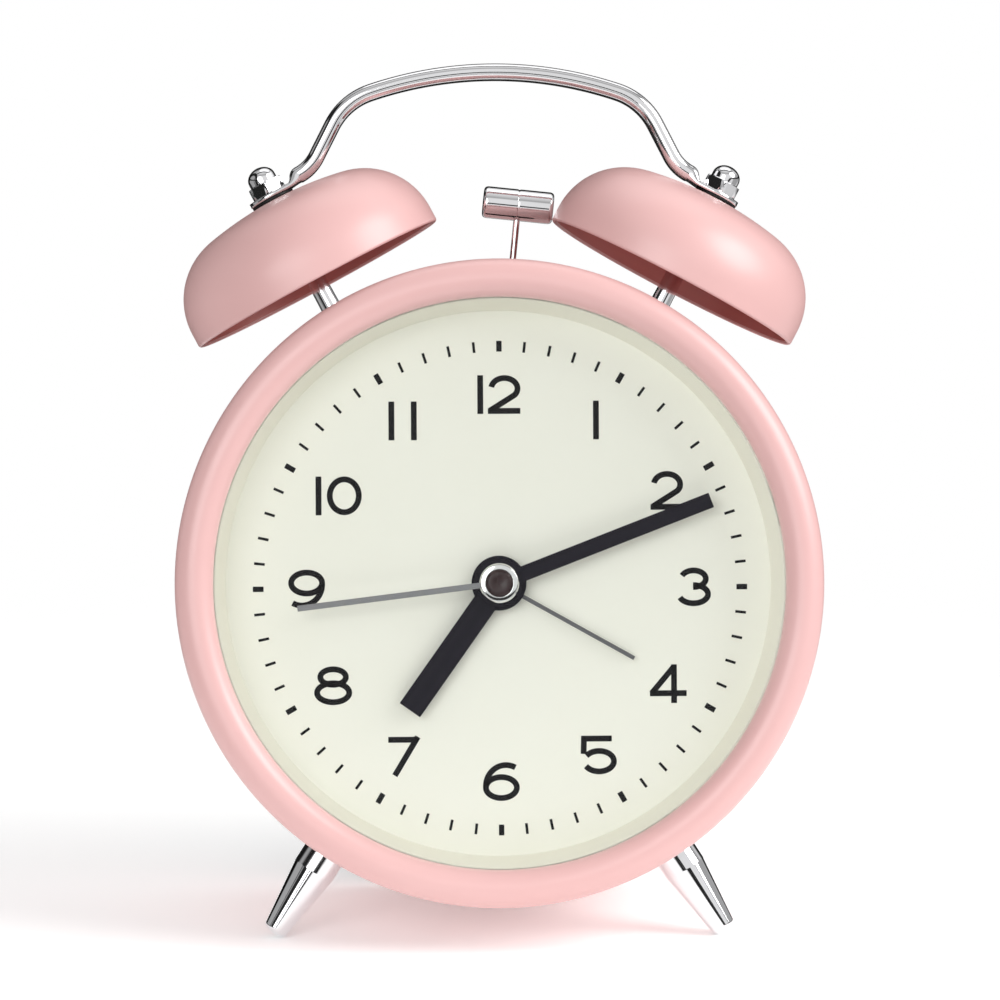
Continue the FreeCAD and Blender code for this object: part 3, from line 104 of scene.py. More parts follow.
def softened(points, steps=4):
    # rounds each corner that has a third value, its radius
    done = []
    for index, point in enumerate(points):
        if len(point) < 3 or point[2] == 0:
            done.append(Vector(point[:2]))
            continue
        here = Vector(point[:2])
        before = Vector(points[index - 1][:2]) - here
        after = Vector(points[(index + 1) % len(points)][:2]) - here
        cut = min(point[2], before.length * 0.49, after.length * 0.49)
        start, end = here + before.normalized() * cut, here + after.normalized() * cut
        for step in range(steps + 1):
            share = step / steps
            done.append(start * (1 - share) ** 2 + here * 2 * share * (1 - share) + end * share ** 2)
    return done


def addMesh(name, bm):
    # makes an object of the scene from a finished bmesh
    mesh = bpy.data.meshes.new(name)
    bm.to_mesh(mesh)
    bm.free()
    piece = bpy.data.objects.new(name, mesh)
    bpy.context.collection.objects.link(piece)
    return piece


def meshPiece(name, bm, place, finish, body, node=None, sharp=38, weighted=True):
    # one finished object: its place, smooth faces with crisp edges, material, body and the node it stands for
    bm.transform(place)
    bmesh.ops.remove_doubles(bm, verts=bm.verts, dist=1e-7)
    bmesh.ops.recalc_face_normals(bm, faces=bm.faces)
    for face in bm.faces:
        face.smooth = True
    for edge in bm.edges:
        if len(edge.link_faces) == 2 and edge.calc_face_angle(0) > math.radians(sharp):
            edge.smooth = False
    piece = addMesh(name, bm)
    piece.data.materials.append(finish)
    if weighted:
        modifier = piece.modifiers.new("evenShade", "WEIGHTED_NORMAL")
        modifier.keep_sharp = True
    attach(piece, body)
    if node:
        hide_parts(node)
    return piece


def bakeModifiers(piece):
    # keeps the shape that the modifiers give and drops them
    graph = bpy.context.evaluated_depsgraph_get()
    shaped = bpy.data.meshes.new_from_object(piece.evaluated_get(graph), depsgraph=graph)
    piece.modifiers.clear()
    piece.data = shaped


def cutAway(piece, cutter, crossing=False):
    # takes the cutter's volume out of a finished piece; crossing is for a cutter that crosses itself
    tool = addMesh("cutter", cutter)
    boolean = piece.modifiers.new("cutAway", "BOOLEAN")
    boolean.object = tool
    boolean.operation = "DIFFERENCE"
    boolean.solver = "EXACT"
    boolean.use_self = crossing
    bakeModifiers(piece)
    bpy.data.objects.remove(tool)


def skinInto(bm, rings, joined=False, capped=True):
    # faces from each ring of vertices to the next, then over both ends
    pairs = list(zip(rings, rings[1:]))
    if joined:
        pairs.append((rings[-1], rings[0]))
    count = len(rings[0])
    for low, high in pairs:
        for index in range(count):
            after = (index + 1) % count
            bm.faces.new((low[index], low[after], high[after], high[index]))
    if capped:
        bm.faces.new(rings[0])
        bm.faces.new(rings[-1])


def latheInto(bm, profile, steps=160, loop=True, flats=None, place=None):
    # turns (radius, depth) points about y; flats is a hexagon's half width that trims the radius
    rings = []
    for radius, depth in profile:
        if radius < 1e-6:
            rings.append([bm.verts.new((0, depth, 0))])
            continue
        ring = []
        for step in range(steps):
            turn = 2 * math.pi * step / steps
            reach = radius
            if flats:
                away = (turn + math.pi / 6) % (math.pi / 3) - math.pi / 6
                reach = min(radius, flats / math.cos(away))
            ring.append(bm.verts.new((reach * math.cos(turn), depth, reach * math.sin(turn))))
        rings.append(ring)
    made = [vertex for ring in rings for vertex in ring]
    pairs = list(zip(rings, rings[1:]))
    if loop:
        pairs.append((rings[-1], rings[0]))
    for low, high in pairs:
        if len(low) == 1 and len(high) == 1:
            continue
        for step in range(steps):
            after = (step + 1) % steps
            corners = [low[step % len(low)], low[after % len(low)], high[after % len(high)],
                       high[step % len(high)]]
            corners = list(dict.fromkeys(corners))
            if len(corners) > 2:
                bm.faces.new(corners)
    if place:
        bmesh.ops.transform(bm, matrix=place, verts=made)


def lathe(name, profile, place, finish, body, node=None, steps=160):
    bm = bmesh.new()
    solid = profile[0][0] < 1e-6 and profile[-1][0] < 1e-6
    latheInto(bm, profile, steps, not solid)
    return meshPiece(name, bm, place, finish, body, node)


def slabInto(bm, outline, front, back, bevel=0.0):
    # flat piece from a closed outline of (across, up) points, its front edge eased
    levels = [(back, 0.0), (front + bevel, 0.0), (front, bevel)] if bevel else [(back, 0.0), (front, 0.0)]
    count = len(outline)
    rings = []
    for depth, inset in levels:
        ring = []
        for index, spot in enumerate(outline):
            here = Vector(spot)
            before = (here - Vector(outline[index - 1])).normalized()
            after = (Vector(outline[(index + 1) % count]) - here).normalized()
            inward = Vector((-(before + after).y, (before + after).x)).normalized()
            stretch = max(0.4, inward.dot(Vector((-after.y, after.x))))
            here = here + inward * inset / stretch
            ring.append(bm.verts.new((here.x, depth, here.y)))
        rings.append(ring)
    skinInto(bm, rings)


# node helper for the finishes

class Value:
    # a shader value that can be used in Python arithmetic
    def __init__(self, tree, socket):
        self.tree, self.socket = tree, socket

    def sum(self, operation, other, swap=False):
        node = self.tree.nodes.new("ShaderNodeMath")
        node.operation = operation
        terms = (other, self) if swap else (self, other)
        for slot, term in zip(node.inputs, terms):
            plug(self.tree, slot, term)
        return Value(self.tree, node.outputs[0])

    def __add__(self, other):
        return self.sum("ADD", other)

    def __sub__(self, other):
        return self.sum("SUBTRACT", other)

    def __rsub__(self, other):
        return self.sum("SUBTRACT", other, swap=True)

    def __mul__(self, other):
        return self.sum("MULTIPLY", other)

    __radd__, __rmul__ = __add__, __mul__


def plug(tree, slot, term):
    if isinstance(term, Value):
        tree.links.new(term.socket, slot)
    elif term is not None:
        slot.default_value = term


def linear(red, green, blue):
    # screen colour from 0 to 255, as linear light
    def channel(part):
        part /= 255
        return part / 12.92 if part <= 0.04045 else ((part + 0.055) / 1.055) ** 2.4
    return (channel(red), channel(green), channel(blue), 1)


class Nodes:
    # adds nodes to one material or to the world
    def __init__(self, tree):
        self.tree = tree

    def make(self, kind, output=0, settings=None, slots=None, **inputs):
        node = self.tree.nodes.new("ShaderNode" + kind)
        for name, setting in (settings or {}).items():
            if name == "stops":
                while len(node.color_ramp.elements) < len(setting):
                    node.color_ramp.elements.new(1)
                for element, (spot, colour) in zip(node.color_ramp.elements, setting):
                    element.position, element.color = spot, colour
            else:
                setattr(node, name, setting)
        for index, term in (slots or {}).items():
            plug(self.tree, node.inputs[index], term)
        for name, term in inputs.items():
            plug(self.tree, node.inputs[name.replace("_", " ")], term)
        return Value(self.tree, node.outputs[output])

    def mixColour(self, share, first, second):
        return self.make("Mix", 2, {"data_type": "RGBA"}, {0: share, 6: first, 7: second})


class Finish(Nodes):
    # one procedural material
    def __init__(self, name, **fixed):
        self.material = bpy.data.materials.new(name)
        self.material.use_nodes = True
        super().__init__(self.material.node_tree)
        self.shader = self.tree.nodes["Principled BSDF"]
        for socket, amount in fixed.items():
            self.shader.inputs[socket.replace("_", " ")].default_value = amount

    def coordinates(self):
        return self.make("TexCoord", "Object")

    def noise(self, scale, detail=3.0, roughness=0.55, stretch=None):
        where = self.coordinates()
        if stretch:
            where = self.make("Mapping", Vector=where, Scale=stretch)
        return self.make("TexNoise", Vector=where, Scale=scale, Detail=detail, Roughness=roughness)

    def spread(self, noise, low, high):
        # stretches a noise from its usual middle range to the range given
        return self.make("MapRange", Value=noise, From_Min=0.3, From_Max=0.7, To_Min=low, To_Max=high)

    def use(self, **inputs):
        for name, term in inputs.items():
            plug(self.tree, self.shader.inputs[name.replace("_", " ")], term)
        return self

    def bump(self, height, distance, strength=1.0):
        return self.use(Normal=self.make("Bump", Height=height, Distance=distance, Strength=strength))


def edgeWear(finish, size, low=0.5, high=0.8):
    # 0 on flat faces, 1 on worn corners, from how sharply the surface turns
    pointy = finish.make("NewGeometry", "Pointiness")
    return finish.make("MapRange", Value=pointy + (finish.noise(size) - 0.5) * 0.06, From_Min=low,
                       From_Max=high, To_Min=0.0, To_Max=1.0)


def softPaint(name, colour, deep, rough):
    # satin stoved paint: a faint orange peel, slow drift of shade and of gloss
    paint = Finish(name, Coat_Weight=0.3, Coat_Roughness=0.38, IOR=1.5)
    drift = paint.spread(paint.noise(22, 2), 0.0, 1.0)
    paint.use(Base_Color=paint.mixColour(drift * 0.35, colour, deep),
              Roughness=paint.spread(paint.noise(60, 4), rough - 0.04, rough + 0.05))
    peel = paint.noise(900, 3) * 0.7 + paint.noise(2600, 2) * 0.3
    return paint.bump(peel, 0.00003, 0.35).material


def chromePlate(name, colour, rough):
    # bright plating with hairline marks and a little haze from handling
    plate = Finish(name, Metallic=1.0)
    haze = plate.spread(plate.noise(90, 4), 0.0, 1.0)
    scratch = plate.noise(700, 2, stretch=(1, 9, 1))
    plate.use(Base_Color=plate.mixColour(haze * 0.25, colour, linear(206, 205, 203)),
              Roughness=haze * 0.05 + rough + plate.spread(scratch, 0.0, 0.02))
    return plate.bump(scratch, 0.000002, 0.2).material


def cardStock(name, colour, shade):
    # matt printed card: fine fibre, faint mottling
    card = Finish(name, IOR=1.45)
    fibre = card.noise(2200, 5, stretch=(1, 1, 2.2))
    card.use(Base_Color=card.mixColour(card.spread(card.noise(40, 4), 0.0, 0.5), colour, shade),
             Roughness=card.spread(fibre, 0.6, 0.72))
    return card.bump(fibre, 0.00002, 0.25).material


def flatEnamel(name, colour, worn, rough, coat=0.0, shine=0.5):
    # thin enamel on stamped metal, paler where the stamping's edge shows
    enamel = Finish(name, Coat_Weight=coat, Coat_Roughness=0.15, Specular_IOR_Level=shine)
    edge = edgeWear(enamel, 300, 0.6, 0.8)
    enamel.use(Base_Color=enamel.mixColour(edge * 0.3, colour, worn),
               Roughness=enamel.spread(enamel.noise(500, 3), rough - 0.06, rough + 0.08))
    return enamel.bump(enamel.noise(1800, 3), 0.00001, 0.3).material


def mouldedPlastic(name, colour, worn, rough, grain=1500, depth=0.00003):
    # moulded plastic with a fine spark-eroded texture, shinier where it is touched
    plastic = Finish(name, IOR=1.5)
    edge = edgeWear(plastic, 200)
    plastic.use(Base_Color=plastic.mixColour(edge * 0.4 + plastic.spread(plastic.noise(30), 0, 0.15),
                                             colour, worn),
                Roughness=plastic.spread(plastic.noise(120, 3), rough - 0.07, rough + 0.07) - edge * 0.1)
    return plastic.bump(plastic.noise(grain, 4), depth, 0.5).material


def machinedMetal(name, colour, dull, rough, metallic=1.0):
    # cut or rolled metal with fine lines and dull patches
    metal = Finish(name, Metallic=metallic)
    lines = metal.noise(900, 3, stretch=(1, 14, 1))
    patches = metal.spread(metal.noise(70, 4), 0.0, 1.0)
    metal.use(Base_Color=metal.mixColour(patches * 0.6, colour, dull),
              Roughness=patches * 0.12 + metal.spread(lines, rough - 0.05, rough + 0.06))
    return metal.bump(lines, 0.000008, 0.35).material


def clearGlass(name):
    # thin flat pane: a faint mirror over a clear view
    pane = Finish(name)
    mirror = pane.make("BsdfGlossy", Roughness=0.02)
    clear = pane.make("BsdfTransparent", Color=(0.985, 0.992, 0.985, 1))
    share = pane.make("Fresnel", IOR=1.25) * 0.7
    blend = pane.make("MixShader", slots={0: share, 1: clear, 2: mirror})
    plug(pane.tree, pane.tree.nodes["Material Output"].inputs["Surface"], blend)
    return pane.material


pinkPaint = softPaint("pinkPaint", linear(222, 178, 176), linear(217, 169, 166), 0.36)
# darker pink that paints the shade inside the bells' hollows
pinkShadedInside = softPaint("pinkShadedInside", linear(200, 122, 116), linear(188, 108, 102), 0.5)
chrome = chromePlate("chrome", linear(238, 238, 240), 0.035)
dialCard = cardStock("dialCard", linear(251, 250, 241), linear(248, 247, 236))
ringCard = cardStock("ringCard", linear(252, 249, 238), linear(247, 242, 228))
dialInk = flatEnamel("dialInk", linear(20, 19, 22), linear(34, 33, 36), 0.6, shine=0.1)
handEnamel = flatEnamel("handEnamel", linear(24, 20, 32), linear(60, 56, 68), 0.55, shine=0.12)
greyEnamel = flatEnamel("greyEnamel", linear(128, 128, 132), linear(180, 180, 182), 0.34)
darkGrey = flatEnamel("darkGrey", linear(92, 92, 96), linear(150, 150, 152), 0.38)
capPolish = flatEnamel("capPolish", linear(46, 24, 27), linear(70, 44, 46), 0.3, shine=0.4)
glassPane = clearGlass("glassPane")
blackPlastic = mouldedPlastic("blackPlastic", linear(38, 38, 40), linear(74, 74, 76), 0.5)
knobPlastic = mouldedPlastic("knobPlastic", linear(30, 30, 32), linear(70, 70, 72), 0.34, 900, 0.00001)
whitePlastic = mouldedPlastic("whitePlastic", linear(226, 226, 220), linear(240, 240, 236), 0.42, 800,
                              0.00001)
magnetPlastic = mouldedPlastic("magnetPlastic", linear(64, 62, 66), linear(96, 94, 96), 0.4, 700, 0.00001)
boardLaminate = mouldedPlastic("boardLaminate", linear(34, 92, 54), linear(60, 120, 74), 0.36, 500,
                               0.00001)
zincSteel = machinedMetal("zincSteel", linear(196, 197, 200), linear(158, 158, 156), 0.3)
brassMetal = machinedMetal("brassMetal", linear(214, 178, 102), linear(170, 132, 72), 0.28)
copperWire = machinedMetal("copperWire", linear(206, 118, 74), linear(160, 84, 50), 0.32)
washerBlack = flatEnamel("washerBlack", linear(22, 22, 23), linear(58, 58, 60), 0.45, shine=0.25)
cellJacket = flatEnamel("cellJacket", linear(62, 70, 86), linear(120, 126, 136), 0.3, 0.4)
print("finishes ready")

# camera, lights and ground

view = {"back": 1150, "left": 32, "aimUp": 15.3, "lens": 225.0, "far": 20}


def clockPoint(x, y, z):
    return clock @ Vector((x, y, z))


def lookingAt(obj, target):
    direction = target - obj.location
    obj.rotation_mode = "QUATERNION"
    obj.rotation_quaternion = direction.to_track_quat("-Z", "Y")


def makeCamera():
    data = bpy.data.cameras.new("camera")
    data.lens = view["lens"]
    data.sensor_width = 36
    data.clip_end = view["far"]
    camera = bpy.data.objects.new("camera", data)
    bpy.context.collection.objects.link(camera)
    camera.location = clockPoint(-view["left"], -view["back"], 0)
    lookingAt(camera, clockPoint(0, 0, view["aimUp"]))
    bpy.context.scene.camera = camera
    bpy.context.scene.view_settings.view_transform = "Standard"


# where each soft lamp stands in the clock's frame, its width in metres and its power in watts
lightSet = {
    "keyLight": {"spot": (880, -420, 560), "size": 0.8, "power": 10.0, "colour": (1, 0.995, 0.985)},
    "fillLight": {"spot": (-420, -1050, 160), "size": 0.8, "power": 4.4, "colour": (1, 1, 1)},
    "topLight": {"spot": (100, 150, 900), "size": 0.9, "power": 1.3, "colour": (1, 1, 1)},
}


def softLight(name, spot, size, power, colour):
    data = bpy.data.lights.new(name, "AREA")
    data.shape = "DISK"
    data.size = size
    data.energy = power
    data.color = colour
    lamp = bpy.data.objects.new(name, data)
    bpy.context.collection.objects.link(lamp)
    lamp.location = clockPoint(*spot)
    lookingAt(lamp, clockPoint(0, 30, 20))


# black cards out of the camera's sight; polished metal picks them up as crisp dark lines
cardSet = {
    "cardFront": {"centre": (0, -900, -130), "across": 1600, "tall": 60},
    "cardLow": {"centre": (0, -700, -330), "across": 1800, "tall": 60},
    "cardLeft": {"centre": (-700, -250, 60), "across": 60, "tall": 900},
    "cardTop": {"centre": (0, -200, 900), "across": 1500, "tall": 160},
}
cardBlack = Finish("cardBlack", Base_Color=(0.005, 0.005, 0.006, 1), Roughness=0.9).material


def gridPiece(name, half):
    bm = bmesh.new()
    bmesh.ops.create_grid(bm, x_segments=1, y_segments=1, size=half)
    return addMesh(name, bm)


def darkCard(name, centre, across, tall):
    card = gridPiece(name, 0.5)
    card.scale = (across * mm, tall * mm, 1)
    card.location = clockPoint(*centre)
    lookingAt(card, clockPoint(0, 20, 20))
    card.visible_camera = False
    card.data.materials.append(cardBlack)


# tones of the room that polished metal reflects, from one end of each direction to the other
roomSet = {
    "plain": 0.62,
    "tones": {"floor": 0.9, "black": 0.02, "white": 0.95, "grey": 0.45},
    "Z": ((0.0, "floor"), (0.47, "floor"), (0.485, "black"), (0.535, "black"), (0.56, "white"),
          (0.8, "white"), (0.86, "grey"), (1.0, "white")),
    "X": ((0.0, "grey"), (0.07, "grey"), (0.09, "black"), (0.17, "black"), (0.2, "white"), (0.9, "white"),
          (0.93, "grey"), (1.0, "grey")),
    "Y": ((0.0, "white"), (0.72, "white"), (0.8, "grey"), (0.86, "black"), (1.0, "black")),
}


def greyTone(tone):
    return (tone, tone, tone, 1)


def roomBand(sky, along):
    # bands of tone across the room in one direction
    spot = sky.make("SeparateXYZ", along, Vector=sky.make("TexCoord", "Generated"))
    stops = [(share, greyTone(roomSet["tones"][tone])) for share, tone in roomSet[along]]
    return sky.make("ValToRGB", settings={"stops": stops}, Fac=spot * 0.5 + 0.5)


def makeWorld():
    # plain light for matt surfaces, a banded room for polished ones, and white where the camera looks past
    world = bpy.data.worlds.new("studio")
    bpy.context.scene.world = world
    world.use_nodes = True
    sky = Nodes(world.node_tree)
    multiply = {"operation": "MULTIPLY"}
    room = sky.make("VectorMath", settings=multiply, slots={0: roomBand(sky, "Z"), 1: roomBand(sky, "X")})
    room = sky.make("VectorMath", settings=multiply, slots={0: room, 1: roomBand(sky, "Y")})
    glossy = sky.make("LightPath", "Is Glossy Ray")
    seen = sky.make("LightPath", "Is Camera Ray")
    light = sky.mixColour(glossy, greyTone(roomSet["plain"]), room)
    colour = sky.mixColour(seen, light, greyTone(1))
    plug(sky.tree, world.node_tree.nodes["Background"].inputs["Color"], colour)


groundSet = {"half": 6, "fadeFrom": 0.08, "fadeTo": 0.3, "glow": 0.22, "pale": 0.97, "dull": 0.95}


def makeGround():
    # pale floor that fades out round the clock
    ground = gridPiece("ground", groundSet["half"])
    paint = Finish("groundPaint", Roughness=0.7, Emission_Color=greyTone(1),
                   Emission_Strength=groundSet["glow"])
    away = paint.make("VectorMath", "Value", {"operation": "LENGTH"}, {0: paint.coordinates()})
    fade = paint.make("MapRange", settings={"interpolation_type": "SMOOTHSTEP"}, Value=away,
                      From_Min=groundSet["fadeFrom"], From_Max=groundSet["fadeTo"], To_Min=1.0, To_Max=0.0)
    tone = paint.mixColour(paint.noise(3, 2), greyTone(groundSet["pale"]), greyTone(groundSet["dull"]))
    paint.use(Base_Color=tone, Alpha=fade)
    ground.data.materials.append(paint.material)


makeCamera()
for name, settings in lightSet.items():
    softLight(name, **settings)
for name, settings in cardSet.items():
    darkCard(name, **settings)
makeWorld()
makeGround()
print("studio ready")

# case

bezelSet = {"roll": 3.4, "skin": 1.9, "backEdge": 0.5, "innerEdge": 0.2, "steps": 14}


def makeBezel():
    # a rolled lip at the opening, then a swelling face out to the skirt
    radius, front, back = sizeOf("front_bezel", clock)
    opening = min(math.hypot(spot.x, spot.z) for spot in pointsOf("front_bezel", clock))
    roll, skin, steps = bezelSet["roll"], bezelSet["skin"], bezelSet["steps"]
    wide = radius - opening - roll
    profile = arc(opening + roll, roll, roll, 180, 270, steps)
    for step in range(1, steps + 1):
        turn = math.radians(step * 90 / steps)
        profile.append((opening + roll + wide * math.sin(turn), wide * (1 - math.cos(turn))))
    profile += softened([(radius, back, bezelSet["backEdge"]), (radius - skin, back, bezelSet["innerEdge"])])
    profile.append((radius - skin, roll))
    lathe("bezelRing", profile, clock, pinkPaint, "case", "front_bezel", steps=256)


drumSet = {"backEdge": 0.8, "innerEdge": 0.3, "edge": 0.2, "slotReach": 5.2, "slotHalf": 1.7, "cutDeep": 6}


def makeDrum():
    # the case's wall, with a round-ended slot in its top that the hammer's rod swings in
    radius, front, back = sizeOf("case_drum", clock)
    inside = sizeOf("rear_cover", clock)[0]
    edge, inner = drumSet["edge"], drumSet["innerEdge"]
    profile = softened([(radius, front + inner), (radius, back, drumSet["backEdge"]), (inside, back, inner),
                        (inside, front, edge), (radius, front, edge)])
    drum = lathe("caseDrum", profile, clock, pinkPaint, "case", "case_drum", steps=256)
    half = drumSet["slotHalf"]
    outline = []
    for side in (1, -1):
        for across, up in arc(drumSet["slotReach"], 0, half, -90, 90, 8):
            outline.append((side * across, side * up))
    cutter = bmesh.new()
    slabInto(cutter, outline, -drumSet["cutDeep"], drumSet["cutDeep"])
    low, high = localBox("hammer_rod")
    cutter.transform(clock @ Matrix.Translation((0, (low.y + high.y) / 2, radius)) @
                     Matrix.Rotation(math.pi / 2, 4, "X"))
    cutAway(drum, cutter)


legSet = {"straight": 6.0, "round": 1.2, "stud": 4.8, "root": 3, "neck": 1, "seatEdge": 0.2,
          "taperEdge": 0.25, "angles": {"left": 213, "right": 147}}


def makeLeg(side, angle):
    # short stud, straight collar, then a taper to a round tip
    node = "leg_" + side
    place = spindle(node, angle)
    radius, start, end = sizeOf(node, place)
    seat, tipRound = start + legSet["stud"], legSet["round"]
    root = seat - legSet["root"]
    tip = max(math.hypot(spot.x, spot.z) for spot in pointsOf(node, place)
              if abs(spot.y - (end - tipRound)) < 0.05)
    profile = [(0, root)]
    profile += softened([(radius - legSet["neck"], root), (radius, seat, legSet["seatEdge"]),
                         (radius, seat + legSet["straight"], legSet["taperEdge"])])
    profile += arc(tip - tipRound, end - tipRound, tipRound, 8, 90, 8) + [(0, end)]
    lathe("leg" + side.title(), profile, place, chrome, "case", node, steps=96)


makeBezel()
makeDrum()
for side, angle in legSet["angles"].items():
    makeLeg(side, angle)
print("case and legs ready")

# bells

bellSet = {"tilt": 28, "wall": 1.0, "lip": 2.8, "shoulder": 13.8, "crown": 70.0, "lipRound": 0.35,
           "shadeFrom": 0.6, "under": -0.02, "crownEnd": 88.7, "steps": 200}


def bellProfile(radius, rim, inset):
    # from the rim up and over to the hole for the post
    shoulder, crown = bellSet["shoulder"], bellSet["crown"]
    dish = radius - shoulder
    turn = math.acos(dish / (crown - shoulder))
    apex = rim + bellSet["lip"] + crown - (crown - shoulder) * math.sin(turn)
    points = [(radius - inset, rim + bellSet["lip"] * step / 3) for step in range(3)]
    points += arc(dish, rim + bellSet["lip"], shoulder - inset, 0, math.degrees(turn), 26)
    points += arc(0, apex - crown, crown - inset, math.degrees(turn), bellSet["crownEnd"], 12)[1:]
    return points


def makeBell(side, angle):
    # pressed dome, a round lip between its two skins, and painted shade inside: the hollow's faces get a
    # darker pink
    post, node = "bell_post_" + side, "bell_" + side
    place = spindle(post, angle)
    radius, rim, crown = sizeOf(node, place)
    wall, lipTop = bellSet["wall"], rim + bellSet["lipRound"]
    outer = bellProfile(radius, rim, 0)
    inner = bellProfile(radius, rim, wall)
    lip = arc(radius - wall / 2, lipTop, wall / 2, 180, 360, 8)
    profile = lip[1:-1] + [(radius, lipTop)] + outer[1:] + inner[:0:-1] + [(radius - wall, lipTop)]
    bell = lathe("bell" + side.title(), profile, place, pinkPaint, "case", node, steps=bellSet["steps"])
    bell.data.materials.append(pinkShadedInside)
    inverse = place.inverted()
    # faces that look into the bell's hollow, a little above the rim, take the darker pink: painted shade
    for face in bell.data.polygons:
        spot = inverse @ face.center
        normal = inverse.to_3x3() @ face.normal
        inward = -spot.x * normal.x - spot.z * normal.z
        if (inward > 0 or normal.y < bellSet["under"]) and spot.y > rim + bellSet["shadeFrom"]:
            face.material_index = 1
    makePost(side, post, place, rim)
    makeFixings(place, crown)


postSet = {"near": 0.02, "step": 0.1, "endEdge": 0.2, "collarEdge": 0.35, "topEdge": 0.3, "inBell": 2}


def makePost(side, node, place, rim):
    # stud, collar on the case, slim body up into the bell, stud again through its crown
    spots = pointsOf(node, place)
    levels = sorted({round(spot.y, 2) for spot in spots})
    wide = {level: max(math.hypot(spot.x, spot.z) for spot in spots if abs(spot.y - level) < postSet["near"])
            for level in levels}
    low, collarLow, collarHigh, shoulder, top = *levels[:3], *levels[-2:]
    collar, stud, step = wide[collarHigh], wide[top], postSet["step"]
    body = min(reach for reach in wide.values() if reach > stud + step)
    profile = [(0, low)]
    profile += softened([(stud, low, postSet["endEdge"]), (stud, collarLow), (collar, collarLow, step),
                         (collar, collarHigh, postSet["collarEdge"]), (body + step, collarHigh, step),
                         (body, rim + postSet["inBell"]), (body, shoulder, step), (stud, shoulder),
                         (stud, top, postSet["topEdge"])])
    profile.append((0, top))
    lathe("bellPost" + side.title(), profile, place, chrome, "case", node, steps=64)


acornSet = {"flats": 3.25, "hex": 2.3, "dome": 3.1, "ball": 2.7, "straight": 0.9, "neck": 0.15, "steps": 14}
washerSet = {"thick": 0.5, "radius": 4.2, "hole": 1.5, "tab": 0.9}
washers, acorns = [], []


def makeFixings(place, crown):
    # outlines of the washer and the domed nut that hold the handle's tab down
    hole, wide, over = washerSet["hole"], washerSet["radius"], crown + washerSet["thick"]
    washers.append((softened([(hole, crown), (wide, crown, 0.1), (wide, over, 0.15), (hole, over)]), place))
    seat = over + washerSet["tab"]
    top = seat + acornSet["hex"]
    corner = acornSet["flats"] / math.cos(math.pi / 6)
    ball, straight, steps = acornSet["ball"], acornSet["straight"], acornSet["steps"]
    nut = [(hole, seat), (corner - 0.35, seat), (corner, seat + 0.25), (corner, top - 0.3),
           (corner - 0.25, top - 0.08), (corner - 0.6, top), (ball + acornSet["neck"], top)]
    nut += [(ball, top + acornSet["neck"]), (ball, top + straight)]
    for step in range(1, steps):
        turn = math.radians(step * 90 / steps)
        nut.append((ball * math.cos(turn), top + straight + (acornSet["dome"] - straight) * math.sin(turn)))
    nut.append((0, top + acornSet["dome"]))
    acorns.append((nut, place))


def makeShared(name, made, finish, node, loop, flats=None, steps=96):
    # several turned pieces that are one node
    bm = bmesh.new()
    for profile, place in made:
        latheInto(bm, profile, steps, loop, flats, place)
    meshPiece(name, bm, Matrix.Identity(4), finish, "case", node)


makeBell("left", -bellSet["tilt"])
makeBell("right", bellSet["tilt"])
makeShared("bellWashers", washers, washerBlack, "bell_washers", True)
makeShared("acornNuts", acorns, chrome, "acorn_nuts", False, acornSet["flats"], 144)
print("bells ready")

# handle, hammer

def barSection(wide, thick, steps=7):
    # flat bar with round edges, as (up, side) points
    bend = thick * handleSet["round"]
    points = []
    for number, (high, deep) in enumerate(((1, 1), (-1, 1), (-1, -1), (1, -1))):
        centre = Vector((high * (thick / 2 - bend), deep * (wide / 2 - bend)))
        for step in range(steps + 1):
            turn = math.radians(90 * number + 90 * step / steps)
            points.append(centre + Vector((math.cos(turn), math.sin(turn))) * bend)
    return points


handleSet = {
    "tilt": 28, "drop": 6, "back": 28, "tabAt": 89.65,  # where the posts hold the bar
    "tab": 0.9, "tabRadius": 4.3, "reach": 9, "flat": 3, "neckAt": 3.9, "neck": 8.0,  # flattened end
    "bend": 8, "slant": 63, "corner": 12.5, "arch": 73.5, "top": 96.4,  # bends, then the arch
    "thick": 3, "wide": 7, "round": 0.46,
    "tabSteps": 12, "neckSteps": 12, "bendSteps": 10, "cornerSteps": 14, "archSteps": 24,
}
flatRings = handleSet["tabSteps"] + 1 + handleSet["flat"]


def bendSpots(centre, radius, first, last, count):
    # points round a bend, after its first one; angles are in radians
    turns = [first + (last - first) * step / count for step in range(1, count + 1)]
    return [centre + Vector((math.cos(turn), math.sin(turn))) * radius for turn in turns]


